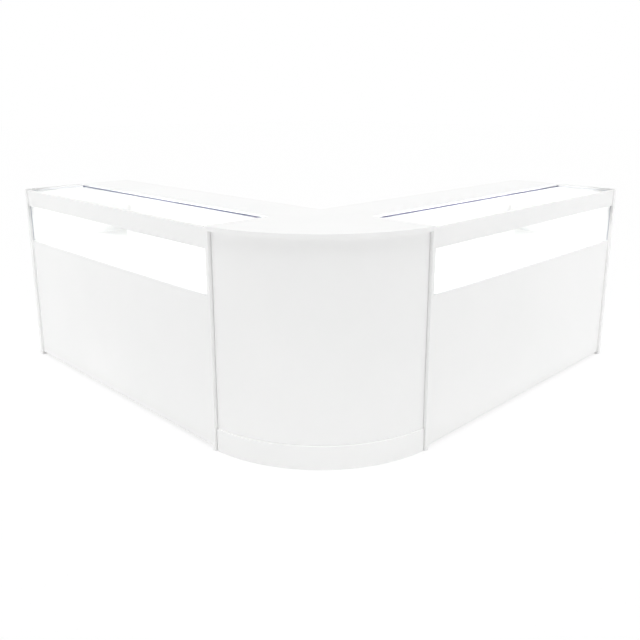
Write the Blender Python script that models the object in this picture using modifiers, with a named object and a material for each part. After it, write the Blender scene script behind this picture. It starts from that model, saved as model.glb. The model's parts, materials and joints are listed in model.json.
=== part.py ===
"""Retail display counter: two straight showcase wings tied to a quarter-round corner unit.

Units are metres and +Z is up. The origin lies on the floor, under the middle of the counter's
outline. From the inner corner, where the staff sides of both wings meet, the right wing runs
along +X and the left wing along +Y. A wing is modelled in its own axes: X along its length,
Y from its customer face (0) to its staff side, and Z up from the floor.
"""

import math

import bmesh
import bpy

# Whole counter
COUNTER_HEIGHT = 0.900
WING_LENGTH = 1.570
WING_DEPTH = 0.585
BOARD = 0.018
BOARD_ROUND = 0.001
FIT = 0.0003

# Customer face of a wing, with setbacks from the front edges of the end panels
FASCIA_SETBACK = 0.006
FASCIA_DROP = 0.007
FASCIA_HEIGHT = 0.080
WINDOW_HEIGHT = 0.182
PANEL_SETBACK = 0.010
PANEL_FLOOR_GAP = 0.014

# Glass panes and what carries them
GLASS = 0.006
GLASS_ROUND = 0.0005
GLASS_SETBACK = 0.014
GLASS_LIFT = 0.003
GLASS_END_PLAY = 0.0008
GROOVE_DEPTH = 0.008
GLASS_RAIL_HEIGHT = 0.040
GLASS_BEARING = 0.009
WORKTOP_DEPTH = 0.275

# Storage under the showcase
DECK_DROP = 0.010
BASE_TOP = 0.100
DIVIDER_SETBACK = 0.020
SHELF_SETBACK = 0.040
KICK_SETBACK = 0.045
KICK_FLOOR_GAP = 0.010

# Lamp under the front glass rail
LAMP_WIDTH = 0.016
LAMP_HEIGHT = 0.026
LAMP_WALL = 0.0015
DIFFUSER = 0.002
LAMP_END_GAP = 0.120
INLET_LENGTH = 0.030
INLET_SOCKET_RADIUS = 0.0015
INLET_SOCKET_DEPTH = 0.008

# Sliding doors of the showcase
DOOR = 0.008
DOOR_PLAY = 0.0004
DOOR_OVERLAP = 0.040
DOOR_END_PLAY = 0.0008
TRACK_WALL = 0.002
LOWER_TRACK_HEIGHT = 0.008
UPPER_TRACK_HEIGHT = 0.016
UPPER_TRACK_GRIP = 0.007
TRACK_SETBACK = 0.012
FINGER_HOLE_RADIUS = 0.015
FINGER_HOLE_INSET = 0.060

# Lock on the staff-side door
LOCK_INSET = 0.020
LOCK_FLANGE_RADIUS = 0.013
LOCK_FLANGE = 0.002
LOCK_BARREL_RADIUS = 0.0095
LOCK_NOSE = 0.006
LOCK_PLUG_RADIUS = 0.006
LOCK_PLAY = 0.0003
KEYWAY_WIDTH = 0.0022
KEYWAY_HEIGHT = 0.008
KEYWAY_DEPTH = 0.004

# Corner unit
ARC_SHIFT = 0.047
LIP_OVERHANG = 0.014
CURVED_PANEL = 0.008
PLINTH_HEIGHT = 0.096
PLINTH_LEDGE = 0.006

# Bolts between the units
BOLT_RADIUS = 0.003
BOLT_HEAD_RADIUS = 0.0075
BOLT_HEAD = 0.002
BOLT_INSET = 0.110
BOLT_LEVEL_GAP = 0.090

# Facets of round shapes
ARC_STEPS = 40
ROUND_STEPS = 24

# Heights that follow from the sizes above
TOP_UNDERSIDE = COUNTER_HEIGHT - BOARD
FASCIA_TOP = COUNTER_HEIGHT - FASCIA_DROP
FASCIA_BOTTOM = FASCIA_TOP - FASCIA_HEIGHT
PANEL_TOP = FASCIA_BOTTOM - WINDOW_HEIGHT
DECK_TOP = PANEL_TOP - DECK_DROP
DECK_UNDERSIDE = DECK_TOP - BOARD
SHELF_MIDDLE = (BASE_TOP + DECK_UNDERSIDE) / 2
GLASS_RAIL_BOTTOM = TOP_UNDERSIDE - GLASS_RAIL_HEIGHT

# Depths and lengths inside a wing that follow from the sizes above
FASCIA_BACK = FASCIA_SETBACK + BOARD
PANEL_BACK = PANEL_SETBACK + BOARD
WORKTOP_FRONT = WING_DEPTH - WORKTOP_DEPTH
INSIDE_START = BOARD
INSIDE_END = WING_LENGTH - BOARD
INSIDE_LENGTH = INSIDE_END - INSIDE_START
WING_MIDDLE = WING_LENGTH / 2
CHANNEL = DOOR + 2 * DOOR_PLAY
TRACK_DEPTH = 2 * CHANNEL + 3 * TRACK_WALL
TRACK_FRONT = WING_DEPTH - TRACK_SETBACK - TRACK_DEPTH
DOOR_WIDTH = (INSIDE_LENGTH - 2 * DOOR_END_PLAY + DOOR_OVERLAP) / 2

# Corner arcs, all round one centre behind the inner corner
LIP_RADIUS = math.hypot(ARC_SHIFT, WING_DEPTH + ARC_SHIFT)
CURVED_PANEL_RADIUS = LIP_RADIUS - LIP_OVERHANG
PLINTH_RADIUS = CURVED_PANEL_RADIUS + PLINTH_LEDGE

# Where the inner corner of the L lies from the middle of the whole outline
INNER_CORNER = (WING_DEPTH - WING_LENGTH) / 2

# Colour, roughness and metallic value of each finish
FINISHES = {
    "white_board": ((0.90, 0.90, 0.89, 1.0), 0.45, 0.0),
    "clear_glass": ((0.93, 0.97, 0.97, 1.0), 0.03, 0.0),
    "white_plastic": ((0.86, 0.86, 0.86, 1.0), 0.40, 0.0),
    "lamp_cover": ((0.97, 0.98, 1.00, 1.0), 0.55, 0.0),
    "satin_aluminium": ((0.78, 0.79, 0.80, 1.0), 0.35, 1.0),
    "nickel": ((0.70, 0.69, 0.66, 1.0), 0.25, 1.0),
}


def clear_scene():
    """Removes every object and collection that the scene starts with."""
    for obj in list(bpy.data.objects):
        bpy.data.objects.remove(obj, do_unlink=True)
    for collection in list(bpy.data.collections):
        bpy.data.collections.remove(collection)


def new_collection(name):
    """A collection under the scene's own."""
    collection = bpy.data.collections.new(name)
    bpy.context.scene.collection.children.link(collection)
    return collection


def finish(name):
    """The material of that finish, made on its first use."""
    found = bpy.data.materials.get(name)
    if found:
        return found
    colour, roughness, metallic = FINISHES[name]
    made = bpy.data.materials.new(name)
    made.use_nodes = True
    shader = made.node_tree.nodes["Principled BSDF"]
    shader.inputs["Base Color"].default_value = colour
    shader.inputs["Roughness"].default_value = roughness
    shader.inputs["Metallic"].default_value = metallic
    made.diffuse_color = colour
    return made


def new_object(name, mesh, place, parent, collection):
    """An object of that mesh, placed under its parent."""
    obj = bpy.data.objects.new(name, mesh)
    obj.location = place
    obj.parent = parent
    collection.objects.link(obj)
    return obj


def new_empty(name, place, parent, turn=0.0):
    """An empty that carries the pieces of one unit, turned about Z."""
    empty = new_object(name, None, place, parent, PARTS)
    empty.rotation_euler.z = turn
    return empty


def box_mesh(name, size):
    """A box of that size, centred on its origin."""
    mesh = bpy.data.meshes.new(name)
    shape = bmesh.new()
    bmesh.ops.create_cube(shape, size=1.0)
    bmesh.ops.scale(shape, vec=size, verts=shape.verts)
    shape.to_mesh(mesh)
    shape.free()
    return mesh


def cylinder_mesh(name, radius, length):
    """A cylinder along its own Z, centred on its origin."""
    mesh = bpy.data.meshes.new(name)
    shape = bmesh.new()
    bmesh.ops.create_cone(
        shape,
        cap_ends=True,
        segments=ROUND_STEPS,
        radius1=radius,
        radius2=radius,
        depth=length,
    )
    shape.to_mesh(mesh)
    shape.free()
    return mesh


def round_edges(obj, width):
    """A small chamfer on the sharp edges of a piece."""
    bevel = obj.modifiers.new("edge", "BEVEL")
    bevel.width = width
    bevel.segments = 1
    bevel.limit_method = "ANGLE"
    bevel.angle_limit = math.radians(40)


def block(name, low, high, look, parent, rounding=BOARD_ROUND):
    """A piece that fills the box from low to high in its parent's axes."""
    size = [b - a for a, b in zip(low, high)]
    middle = [(a + b) / 2 for a, b in zip(low, high)]
    obj = new_object(name, box_mesh(name, size), middle, parent, PARTS)
    obj.data.materials.append(finish(look))
    if rounding:
        round_edges(obj, rounding)
    return obj


def as_cutter(obj):
    """Marks an object as a cutter, which is no part of the counter."""
    obj.hide_render = True
    obj.display_type = "WIRE"
    return obj


def box_cutter(name, low, high, parent):
    """A cutter that fills the box from low to high."""
    size = [b - a for a, b in zip(low, high)]
    middle = [(a + b) / 2 for a, b in zip(low, high)]
    return as_cutter(new_object(name, box_mesh(name, size), middle, parent, CUTTERS))


def round_cutter(name, radius, length, middle, turn, parent):
    """A round cutter, its axis turned from Z by the given angles."""
    mesh = cylinder_mesh(name, radius, length)
    obj = as_cutter(new_object(name, mesh, middle, parent, CUTTERS))
    obj.rotation_euler = turn
    return obj


def cut(obj, cutter):
    """Takes the cutter's shape out of a piece."""
    boolean = obj.modifiers.new("cut " + cutter.name, "BOOLEAN")
    boolean.operation = "DIFFERENCE"
    boolean.object = cutter


def extruded(name, outline, length, look, parent, place, turn=(0.0, 0.0, 0.0), rounding=0.0):
    """A flat closed outline given a thickness along its own Z, centred on its origin."""
    curve = bpy.data.curves.new(name, "CURVE")
    curve.dimensions = "2D"
    curve.fill_mode = "BOTH"
    curve.extrude = length / 2
    spline = curve.splines.new("POLY")
    spline.points.add(len(outline) - 1)
    for point, (x, y) in zip(spline.points, outline):
        point.co = (x, y, 0.0, 1.0)
    spline.use_cyclic_u = True
    drawn = new_object(name + "_outline", curve, (0, 0, 0), None, PARTS)
    bpy.context.view_layer.update()
    graph = bpy.context.evaluated_depsgraph_get()
    mesh = bpy.data.meshes.new_from_object(drawn.evaluated_get(graph))
    bpy.data.objects.remove(drawn, do_unlink=True)
    shape = bmesh.new()
    shape.from_mesh(mesh)
    bmesh.ops.remove_doubles(shape, verts=shape.verts, dist=1e-6)
    bmesh.ops.dissolve_limit(
        shape, angle_limit=math.radians(0.1), verts=shape.verts, edges=shape.edges
    )
    bmesh.ops.recalc_face_normals(shape, faces=shape.faces)
    shape.to_mesh(mesh)
    shape.free()
    mesh.name = name
    mesh.materials.clear()
    mesh.materials.append(finish(look))
    obj = new_object(name, mesh, place, parent, PARTS)
    obj.rotation_euler = turn
    if rounding:
        round_edges(obj, rounding)
    return obj


def turned(name, profile, look, parent, place, turn):
    """A solid of revolution about its own Z from (radius, height) points, top to bottom."""
    mesh = bpy.data.meshes.new(name)
    shape = bmesh.new()
    points = [shape.verts.new((radius, 0.0, height)) for radius, height in profile]
    for above, below in zip(points, points[1:]):
        shape.edges.new((above, below))
    shape.to_mesh(mesh)
    shape.free()
    mesh.materials.append(finish(look))
    obj = new_object(name, mesh, place, parent, PARTS)
    obj.rotation_euler = turn
    screw = obj.modifiers.new("turn", "SCREW")
    screw.steps = ROUND_STEPS
    screw.render_steps = ROUND_STEPS
    screw.use_merge_vertices = True
    screw.merge_threshold = 0.00005
    screw.use_smooth_shade = True
    return obj


# Turns that lay a shape's own Z along another axis of its unit
ALONG_X = (math.pi / 2, 0.0, math.pi / 2)
TO_STAFF_SIDE = (-math.pi / 2, 0.0, 0.0)


class Wing:
    """One straight showcase counter."""

    def __init__(self, side, place, turn, corner_at_start):
        self.side = side
        self.corner_at_start = corner_at_start
        self.root = new_empty(side + "_wing", place, COUNTER, turn)

    def name(self, piece):
        """The piece's name on this wing."""
        return self.side + "_" + piece

    def board(self, piece, low, high, look="white_board", rounding=BOARD_ROUND):
        """A board of this wing that fills the box from low to high."""
        return block(self.name(piece), low, high, look, self.root, rounding)

    def between_ends(self, piece, depth_from, depth_to, low, high, gap=FIT, **more):
        """A board or pane that runs from one end panel to the other."""
        start = (INSIDE_START + gap, depth_from, low)
        end = (INSIDE_END - gap, depth_to, high)
        return self.board(piece, start, end, **more)

    def build(self):
        """Makes every piece of the wing."""
        self.end_panels()
        self.customer_face()
        self.glass()
        self.worktop()
        self.lamp()
        self.storage()
        self.tracks()
        self.doors()

    def end_panels(self):
        """The two panels that carry the wing, from the floor to the top."""
        places = {"start": 0.0, "end": INSIDE_END}
        inner = "start" if self.corner_at_start else "end"
        for where, start in places.items():
            piece = "inner_end_panel" if where == inner else "outer_end_panel"
            panel = self.board(
                piece, (start, 0.0, 0.0), (start + BOARD, WING_DEPTH, COUNTER_HEIGHT)
            )
            if where == inner:
                self.inner_panel = panel

    def customer_face(self):
        """Lower front panel and fascia, each grooved for the front glass."""
        panel = self.between_ends(
            "front_panel", PANEL_SETBACK, PANEL_BACK, PANEL_FLOOR_GAP, PANEL_TOP
        )
        fascia = self.between_ends(
            "fascia", FASCIA_SETBACK, FASCIA_BACK, FASCIA_BOTTOM, FASCIA_TOP
        )
        grooves = {
            panel: (PANEL_TOP - GROOVE_DEPTH, PANEL_TOP + BOARD),
            fascia: (FASCIA_BOTTOM - BOARD, FASCIA_BOTTOM + GROOVE_DEPTH),
        }
        for carrier, (bottom, top) in grooves.items():
            groove = box_cutter(
                carrier.name + "_groove",
                (-BOARD, GLASS_SETBACK - FIT, bottom),
                (WING_LENGTH + BOARD, GLASS_SETBACK + GLASS + FIT, top),
                self.root,
            )
            cut(carrier, groove)

    def glass(self):
        """Front pane in its grooves, and top pane on its two rails."""
        pane = {"look": "clear_glass", "rounding": GLASS_ROUND, "gap": GLASS_END_PLAY}
        self.between_ends(
            "front_glass",
            GLASS_SETBACK,
            GLASS_SETBACK + GLASS,
            PANEL_TOP - GROOVE_DEPTH + FIT,
            FASCIA_BOTTOM + GROOVE_DEPTH - GLASS_LIFT,
            **pane,
        )
        self.between_ends(
            "top_glass",
            FASCIA_BACK + FIT,
            WORKTOP_FRONT - FIT,
            TOP_UNDERSIDE + FIT,
            TOP_UNDERSIDE + FIT + GLASS,
            **pane,
        )
        rails = {
            "front_glass_rail": FASCIA_BACK + FIT,
            "rear_glass_rail": WORKTOP_FRONT - GLASS_BEARING,
        }
        for piece, front in rails.items():
            self.between_ends(piece, front, front + BOARD, GLASS_RAIL_BOTTOM, TOP_UNDERSIDE)

    def worktop(self):
        """Board behind the top glass, flush with the end panels."""
        self.between_ends(
            "worktop", WORKTOP_FRONT, WING_DEPTH, TOP_UNDERSIDE + FIT, COUNTER_HEIGHT
        )

    def lamp(self):
        """Light bar under the front glass rail: channel, diffuser and lead inlet.

        The channel is open towards the doors, so its steep diffuser lights doors and deck alike.
        """
        middle = FASCIA_BACK + FIT + BOARD / 2
        top = GLASS_RAIL_BOTTOM - FIT
        start = INSIDE_START + LAMP_END_GAP
        end = INSIDE_END - LAMP_END_GAP
        half = LAMP_WIDTH / 2
        inner = half - LAMP_WALL
        channel = [
            (-half, 0.0),
            (-half, -LAMP_HEIGHT),
            (-inner, -LAMP_HEIGHT),
            (-inner, -LAMP_WALL),
            (half, -LAMP_WALL),
            (half, 0.0),
        ]
        front, under = FIT - inner, -LAMP_WALL - FIT
        across, climb = half - front, LAMP_HEIGHT + under
        slope = math.hypot(across, climb)
        diffuser = [
            (front, -LAMP_HEIGHT),
            (half, under),
            (half - DIFFUSER * slope / climb, under),
            (front, -LAMP_HEIGHT + DIFFUSER * slope / across),
        ]
        bars = {
            "lamp_channel": (channel, "satin_aluminium"),
            "lamp_diffuser": (diffuser, "lamp_cover"),
        }
        for piece, (outline, look) in bars.items():
            place = ((start + end) / 2, middle, top)
            extruded(self.name(piece), outline, end - start, look, self.root, place, ALONG_X)
        inlet = self.board(
            "lamp_inlet",
            (end + FIT, middle - half, top - LAMP_HEIGHT),
            (end + FIT + INLET_LENGTH, middle + half, top),
            look="white_plastic",
        )
        socket = round_cutter(
            inlet.name + "_socket",
            INLET_SOCKET_RADIUS,
            2 * INLET_SOCKET_DEPTH,
            (end + FIT + INLET_LENGTH, middle, top - LAMP_HEIGHT / 2),
            ALONG_X,
            self.root,
        )
        cut(inlet, socket)

    def storage(self):
        """Showcase deck, and the open storage under it."""
        front = PANEL_BACK + FIT
        self.between_ends("deck", front, WING_DEPTH, DECK_UNDERSIDE, DECK_TOP)
        self.between_ends("base_board", front, WING_DEPTH, BASE_TOP - BOARD, BASE_TOP)
        kick = WING_DEPTH - KICK_SETBACK
        self.between_ends("kick_rail", kick - BOARD, kick, KICK_FLOOR_GAP, BASE_TOP - BOARD - FIT)
        divider = (WING_MIDDLE - BOARD / 2, WING_MIDDLE + BOARD / 2)
        self.board(
            "divider",
            (divider[0], front, BASE_TOP + FIT),
            (divider[1], WING_DEPTH - DIVIDER_SETBACK, DECK_UNDERSIDE - FIT),
        )
        bays = {"shelf_a": (INSIDE_START, divider[0]), "shelf_b": (divider[1], INSIDE_END)}
        for piece, (start, end) in bays.items():
            self.board(
                piece,
                (start + FIT, front, SHELF_MIDDLE - BOARD / 2),
                (end - FIT, WING_DEPTH - SHELF_SETBACK, SHELF_MIDDLE + BOARD / 2),
            )

    def tracks(self):
        """Upper and lower tracks, each with a channel for either door."""
        length = INSIDE_LENGTH - 2 * FIT
        upper = self.track_outline(UPPER_TRACK_HEIGHT, opens_up=False)
        lower = self.track_outline(LOWER_TRACK_HEIGHT, opens_up=True)
        seats = {
            "upper_track": (upper, TOP_UNDERSIDE),
            "lower_track": (lower, DECK_TOP + FIT),
        }
        for piece, (outline, level) in seats.items():
            place = (WING_MIDDLE, TRACK_FRONT, level)
            extruded(
                self.name(piece), outline, length, "white_plastic", self.root, place, ALONG_X
            )

    @staticmethod
    def track_outline(height, opens_up):
        """Section of a two-channel track, from its seat to the tips of its three walls."""
        way = 1 if opens_up else -1
        floor = way * TRACK_WALL
        tip = way * height
        points = [(0.0, 0.0), (0.0, tip), (TRACK_WALL, tip)]
        for channel in range(2):
            wall = channel * (TRACK_WALL + CHANNEL) + TRACK_WALL
            points.append((wall, floor))
            points.append((wall + CHANNEL, floor))
            points.append((wall + CHANNEL, tip))
            points.append((wall + CHANNEL + TRACK_WALL, tip))
        points.append((TRACK_DEPTH, 0.0))
        return points

    def doors(self):
        """Two sliding doors that pass each other, and the lock on the staff-side one."""
        bottom = DECK_TOP + FIT + TRACK_WALL + FIT
        top = TOP_UNDERSIDE - UPPER_TRACK_HEIGHT + UPPER_TRACK_GRIP
        near = TRACK_FRONT + TRACK_WALL + DOOR_PLAY
        far = near + CHANNEL + TRACK_WALL
        starts = {
            "showcase_door": (INSIDE_START + DOOR_END_PLAY, near),
            "staff_door": (INSIDE_END - DOOR_END_PLAY - DOOR_WIDTH, far),
        }
        level = (bottom + top) / 2
        for piece, (start, front) in starts.items():
            door = self.board(
                piece,
                (start, front, bottom),
                (start + DOOR_WIDTH, front + DOOR, top),
            )
            from_outer_edge = FINGER_HOLE_INSET
            if piece == "staff_door":
                from_outer_edge = DOOR_WIDTH - FINGER_HOLE_INSET
            hole = round_cutter(
                door.name + "_finger_hole",
                FINGER_HOLE_RADIUS,
                2 * DOOR,
                (start + from_outer_edge, front + DOOR / 2, level),
                TO_STAFF_SIDE,
                self.root,
            )
            cut(door, hole)
            if piece == "staff_door":
                self.lock(door, (start + LOCK_INSET, front, level))

    def lock(self, door, seat):
        """Key lock through the staff-side door, its axis square to the door."""
        along, front, level = seat
        hole = round_cutter(
            door.name + "_lock_hole",
            LOCK_BARREL_RADIUS + LOCK_PLAY,
            2 * DOOR,
            (along, front + DOOR / 2, level),
            TO_STAFF_SIDE,
            self.root,
        )
        cut(door, hole)
        outside = DOOR + FIT
        nose = outside + LOCK_NOSE
        barrel = turned(
            self.name("lock_barrel"),
            [
                (0.0, nose),
                (LOCK_BARREL_RADIUS, nose),
                (LOCK_BARREL_RADIUS, outside + LOCK_FLANGE),
                (LOCK_FLANGE_RADIUS, outside + LOCK_FLANGE),
                (LOCK_FLANGE_RADIUS, outside),
                (LOCK_BARREL_RADIUS, outside),
                (LOCK_BARREL_RADIUS, 0.0),
                (0.0, 0.0),
            ],
            "nickel",
            self.root,
            (along, front, level),
            TO_STAFF_SIDE,
        )
        floor = LOCK_FLANGE
        bore = round_cutter(
            barrel.name + "_bore",
            LOCK_PLUG_RADIUS + LOCK_PLAY,
            2 * (nose - floor),
            (along, front + nose, level),
            TO_STAFF_SIDE,
            self.root,
        )
        cut(barrel, bore)
        plug = turned(
            self.name("lock_plug"),
            [
                (0.0, nose),
                (LOCK_PLUG_RADIUS, nose),
                (LOCK_PLUG_RADIUS, floor + FIT),
                (0.0, floor + FIT),
            ],
            "nickel",
            self.root,
            (along, front, level),
            TO_STAFF_SIDE,
        )
        keyway = box_cutter(
            plug.name + "_keyway",
            (along - KEYWAY_WIDTH / 2, front + nose - KEYWAY_DEPTH, level - KEYWAY_HEIGHT / 2),
            (along + KEYWAY_WIDTH / 2, front + nose + KEYWAY_DEPTH, level + KEYWAY_HEIGHT / 2),
            self.root,
        )
        cut(plug, keyway)

    def bolt_to(self, corner_side):
        """Two bolts through the inner end panel and the corner unit's side panel beside it."""
        grip = 2 * BOARD + FIT
        outward = -1 if self.corner_at_start else 1
        joint = 0.0 if self.corner_at_start else WING_LENGTH
        middle = joint + outward * FIT / 2
        half = grip / 2 + FIT
        spots = {
            "low_bolt": (BOLT_INSET, BASE_TOP + BOLT_LEVEL_GAP),
            "high_bolt": (WING_DEPTH - BOLT_INSET, DECK_UNDERSIDE - BOLT_LEVEL_GAP),
        }
        for piece, (depth, level) in spots.items():
            place = (middle, depth, level)
            turned(
                self.name(piece),
                [
                    (0.0, half + BOLT_HEAD),
                    (BOLT_HEAD_RADIUS, half + BOLT_HEAD),
                    (BOLT_HEAD_RADIUS, half),
                    (BOLT_RADIUS, half),
                    (BOLT_RADIUS, -half),
                    (BOLT_HEAD_RADIUS, -half),
                    (BOLT_HEAD_RADIUS, -half - BOLT_HEAD),
                    (0.0, -half - BOLT_HEAD),
                ],
                "nickel",
                self.root,
                place,
                ALONG_X,
            )
            hole = round_cutter(
                self.name(piece) + "_hole", BOLT_RADIUS + FIT, 2 * grip, place, ALONG_X, self.root
            )
            cut(self.inner_panel, hole)
            cut(corner_side, hole)


class CornerUnit:
    """Quarter-round unit that fills the corner between the wings."""

    def __init__(self):
        self.root = new_empty("corner_unit", (0, 0, 0), COUNTER)

    def build(self):
        """Makes every piece of the corner unit."""
        self.side_panels()
        self.flat_boards()
        self.curved_skins()

    @staticmethod
    def arc(radius, edge):
        """Points of a corner arc, from the right wing's side round to the left wing's."""
        start = math.asin((ARC_SHIFT + edge) / radius)
        end = math.pi / 2 - start
        angles = [start + (end - start) * step / ARC_STEPS for step in range(ARC_STEPS + 1)]
        return [
            (ARC_SHIFT - radius * math.sin(angle), ARC_SHIFT - radius * math.cos(angle))
            for angle in angles
        ]

    @staticmethod
    def depth_at(radius, across):
        """How far in front of the inner corner an arc lies, that far across from it."""
        reach = ARC_SHIFT + across
        return math.sqrt(radius * radius - reach * reach) - ARC_SHIFT

    def side_panels(self):
        """Panels that stand against the inner end panels of the wings, behind both curved skins."""
        inside = min(CURVED_PANEL_RADIUS - CURVED_PANEL, PLINTH_RADIUS - BOARD) - FIT
        front = -self.depth_at(inside, FIT + BOARD)
        top = TOP_UNDERSIDE - FIT
        self.right_side = block(
            "corner_right_side",
            (-FIT - BOARD, front, 0.0),
            (-FIT, -FIT, top),
            "white_board",
            self.root,
        )
        self.left_side = block(
            "corner_left_side",
            (front, -FIT - BOARD, 0.0),
            (-FIT - BOARD - FIT, -FIT, top),
            "white_board",
            self.root,
        )

    def flat_boards(self):
        """Top, base and rib, cut to arcs of the same centre."""
        self.flat_board("corner_top", LIP_RADIUS, FIT, TOP_UNDERSIDE, COUNTER_HEIGHT)
        inside = CURVED_PANEL_RADIUS - CURVED_PANEL - FIT
        edge = FIT + BOARD + FIT
        base = PLINTH_HEIGHT + FIT
        self.flat_board("corner_base", inside, edge, base, base + BOARD)
        rib = SHELF_MIDDLE - BOARD / 2
        self.flat_board("corner_rib", inside, edge, rib, rib + BOARD)

    def flat_board(self, name, radius, edge, low, high):
        """A board with two straight sides that meet at the inner corner, and a round front."""
        outline = self.arc(radius, edge) + [(-edge, -edge)]
        place = (0.0, 0.0, (low + high) / 2)
        extruded(
            name, outline, high - low, "white_board", self.root, place, rounding=BOARD_ROUND
        )

    def curved_skins(self):
        """Curved front panel on its curved plinth."""
        self.curved_skin(
            "corner_front_panel",
            CURVED_PANEL_RADIUS,
            CURVED_PANEL,
            PLINTH_HEIGHT + FIT,
            TOP_UNDERSIDE - FIT,
        )
        self.curved_skin("corner_plinth", PLINTH_RADIUS, BOARD, 0.0, PLINTH_HEIGHT)

    def curved_skin(self, name, radius, wall, low, high):
        """A curved board that ends at the side faces of the unit."""
        outline = self.arc(radius, FIT) + self.arc(radius - wall, FIT)[::-1]
        place = (0.0, 0.0, (low + high) / 2)
        extruded(
            name, outline, high - low, "white_board", self.root, place, rounding=BOARD_ROUND
        )


clear_scene()
PARTS = new_collection("retail_display_counter")
CUTTERS = new_collection("cutters")
COUNTER = new_empty("counter", (INNER_CORNER, INNER_CORNER, 0.0), None)

corner = CornerUnit()
corner.build()
right = Wing("right", (0.0, -WING_DEPTH, 0.0), 0.0, corner_at_start=True)
right.build()
right.bolt_to(corner.right_side)
left = Wing("left", (-WING_DEPTH, WING_LENGTH, 0.0), -math.pi / 2, corner_at_start=False)
left.build()
left.bolt_to(corner.left_side)
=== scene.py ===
"""Finished look of an L-shaped retail display counter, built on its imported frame.

Units are metres and +Z is up. Two straight wings, each with a glazed showcase over open storage,
meet at a quarter-round corner unit. A wing is dressed in its own axes: X along its length, Y from
its customer face to its staff side, and Z up from the floor. The wing's matrix puts it in place.
"""

import json
import logging
import math
from collections.abc import Callable, Sequence
from dataclasses import dataclass
from enum import Enum
from functools import cache, cached_property

import bmesh
import bpy
from mathutils import Matrix, Vector
from mathutils.geometry import tessellate_polygon

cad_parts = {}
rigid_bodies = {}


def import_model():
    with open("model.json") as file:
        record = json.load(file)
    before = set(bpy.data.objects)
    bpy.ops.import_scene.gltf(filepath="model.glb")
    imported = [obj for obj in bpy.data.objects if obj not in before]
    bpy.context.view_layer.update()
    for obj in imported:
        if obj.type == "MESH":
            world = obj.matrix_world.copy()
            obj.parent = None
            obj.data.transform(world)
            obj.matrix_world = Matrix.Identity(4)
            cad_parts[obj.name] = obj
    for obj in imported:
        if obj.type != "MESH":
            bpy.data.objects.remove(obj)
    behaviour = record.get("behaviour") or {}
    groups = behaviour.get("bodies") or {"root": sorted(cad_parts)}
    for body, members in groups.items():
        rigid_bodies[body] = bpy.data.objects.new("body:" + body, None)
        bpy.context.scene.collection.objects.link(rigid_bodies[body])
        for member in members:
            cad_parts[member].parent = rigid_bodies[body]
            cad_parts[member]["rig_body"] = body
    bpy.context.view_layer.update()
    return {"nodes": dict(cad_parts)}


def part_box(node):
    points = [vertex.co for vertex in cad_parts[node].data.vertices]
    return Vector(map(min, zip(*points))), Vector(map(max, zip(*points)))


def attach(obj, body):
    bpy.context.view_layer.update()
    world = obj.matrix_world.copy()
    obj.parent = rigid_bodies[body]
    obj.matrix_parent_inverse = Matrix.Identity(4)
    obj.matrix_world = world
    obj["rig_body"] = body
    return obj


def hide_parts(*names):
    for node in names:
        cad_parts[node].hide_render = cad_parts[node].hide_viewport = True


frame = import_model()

LOG = logging.getLogger("counter")

ROOT_BODY = "counter"
# Play between parts that meet, and how close two corners are to be one
FIT = 0.0003
WELD = 1e-7
ROUND_STEPS = 48
ARC_STEPS = 96
SPIN_SEED = 11
SMOOTH_BELOW = math.radians(25)
SOFTEN_ABOVE = math.radians(40)
FACING = "facing"
BOLTS = ("low_bolt", "high_bolt")
BOLT_HOLE = 0.0033
BOLT_HOLE_STEPS = 24

Point2 = tuple[float, float]
Point3 = tuple[float, float, float]
Colour = tuple[float, float, float]
Spot = tuple[Vector, Vector]
Inputs = dict[str | int, object]
Shell = bmesh.types.BMesh
Socket = bpy.types.NodeSocket

UNIT: Point2 = (0.0, 1.0)
WHITE = (1.0, 1.0, 1.0, 1.0)

# Turns of a shape's own axes: its Z laid along +X or +Y of the wing
Z_TO_X = Matrix(((0, 0, 1, 0), (1, 0, 0, 0), (0, 1, 0, 0), (0, 0, 0, 1)))
Z_TO_Y = Matrix.Rotation(-math.pi / 2, 4, "X")


class Side(Enum):
    """The two wings, as a customer sees them."""

    RIGHT = "right"
    LEFT = "left"


class Slot(Enum):
    """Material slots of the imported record."""

    BOARD = "white_board"
    GLASS = "clear_glass"
    PLASTIC = "white_plastic"
    LAMP = "lamp_cover"
    ALUMINIUM = "satin_aluminium"
    NICKEL = "nickel"


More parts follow.
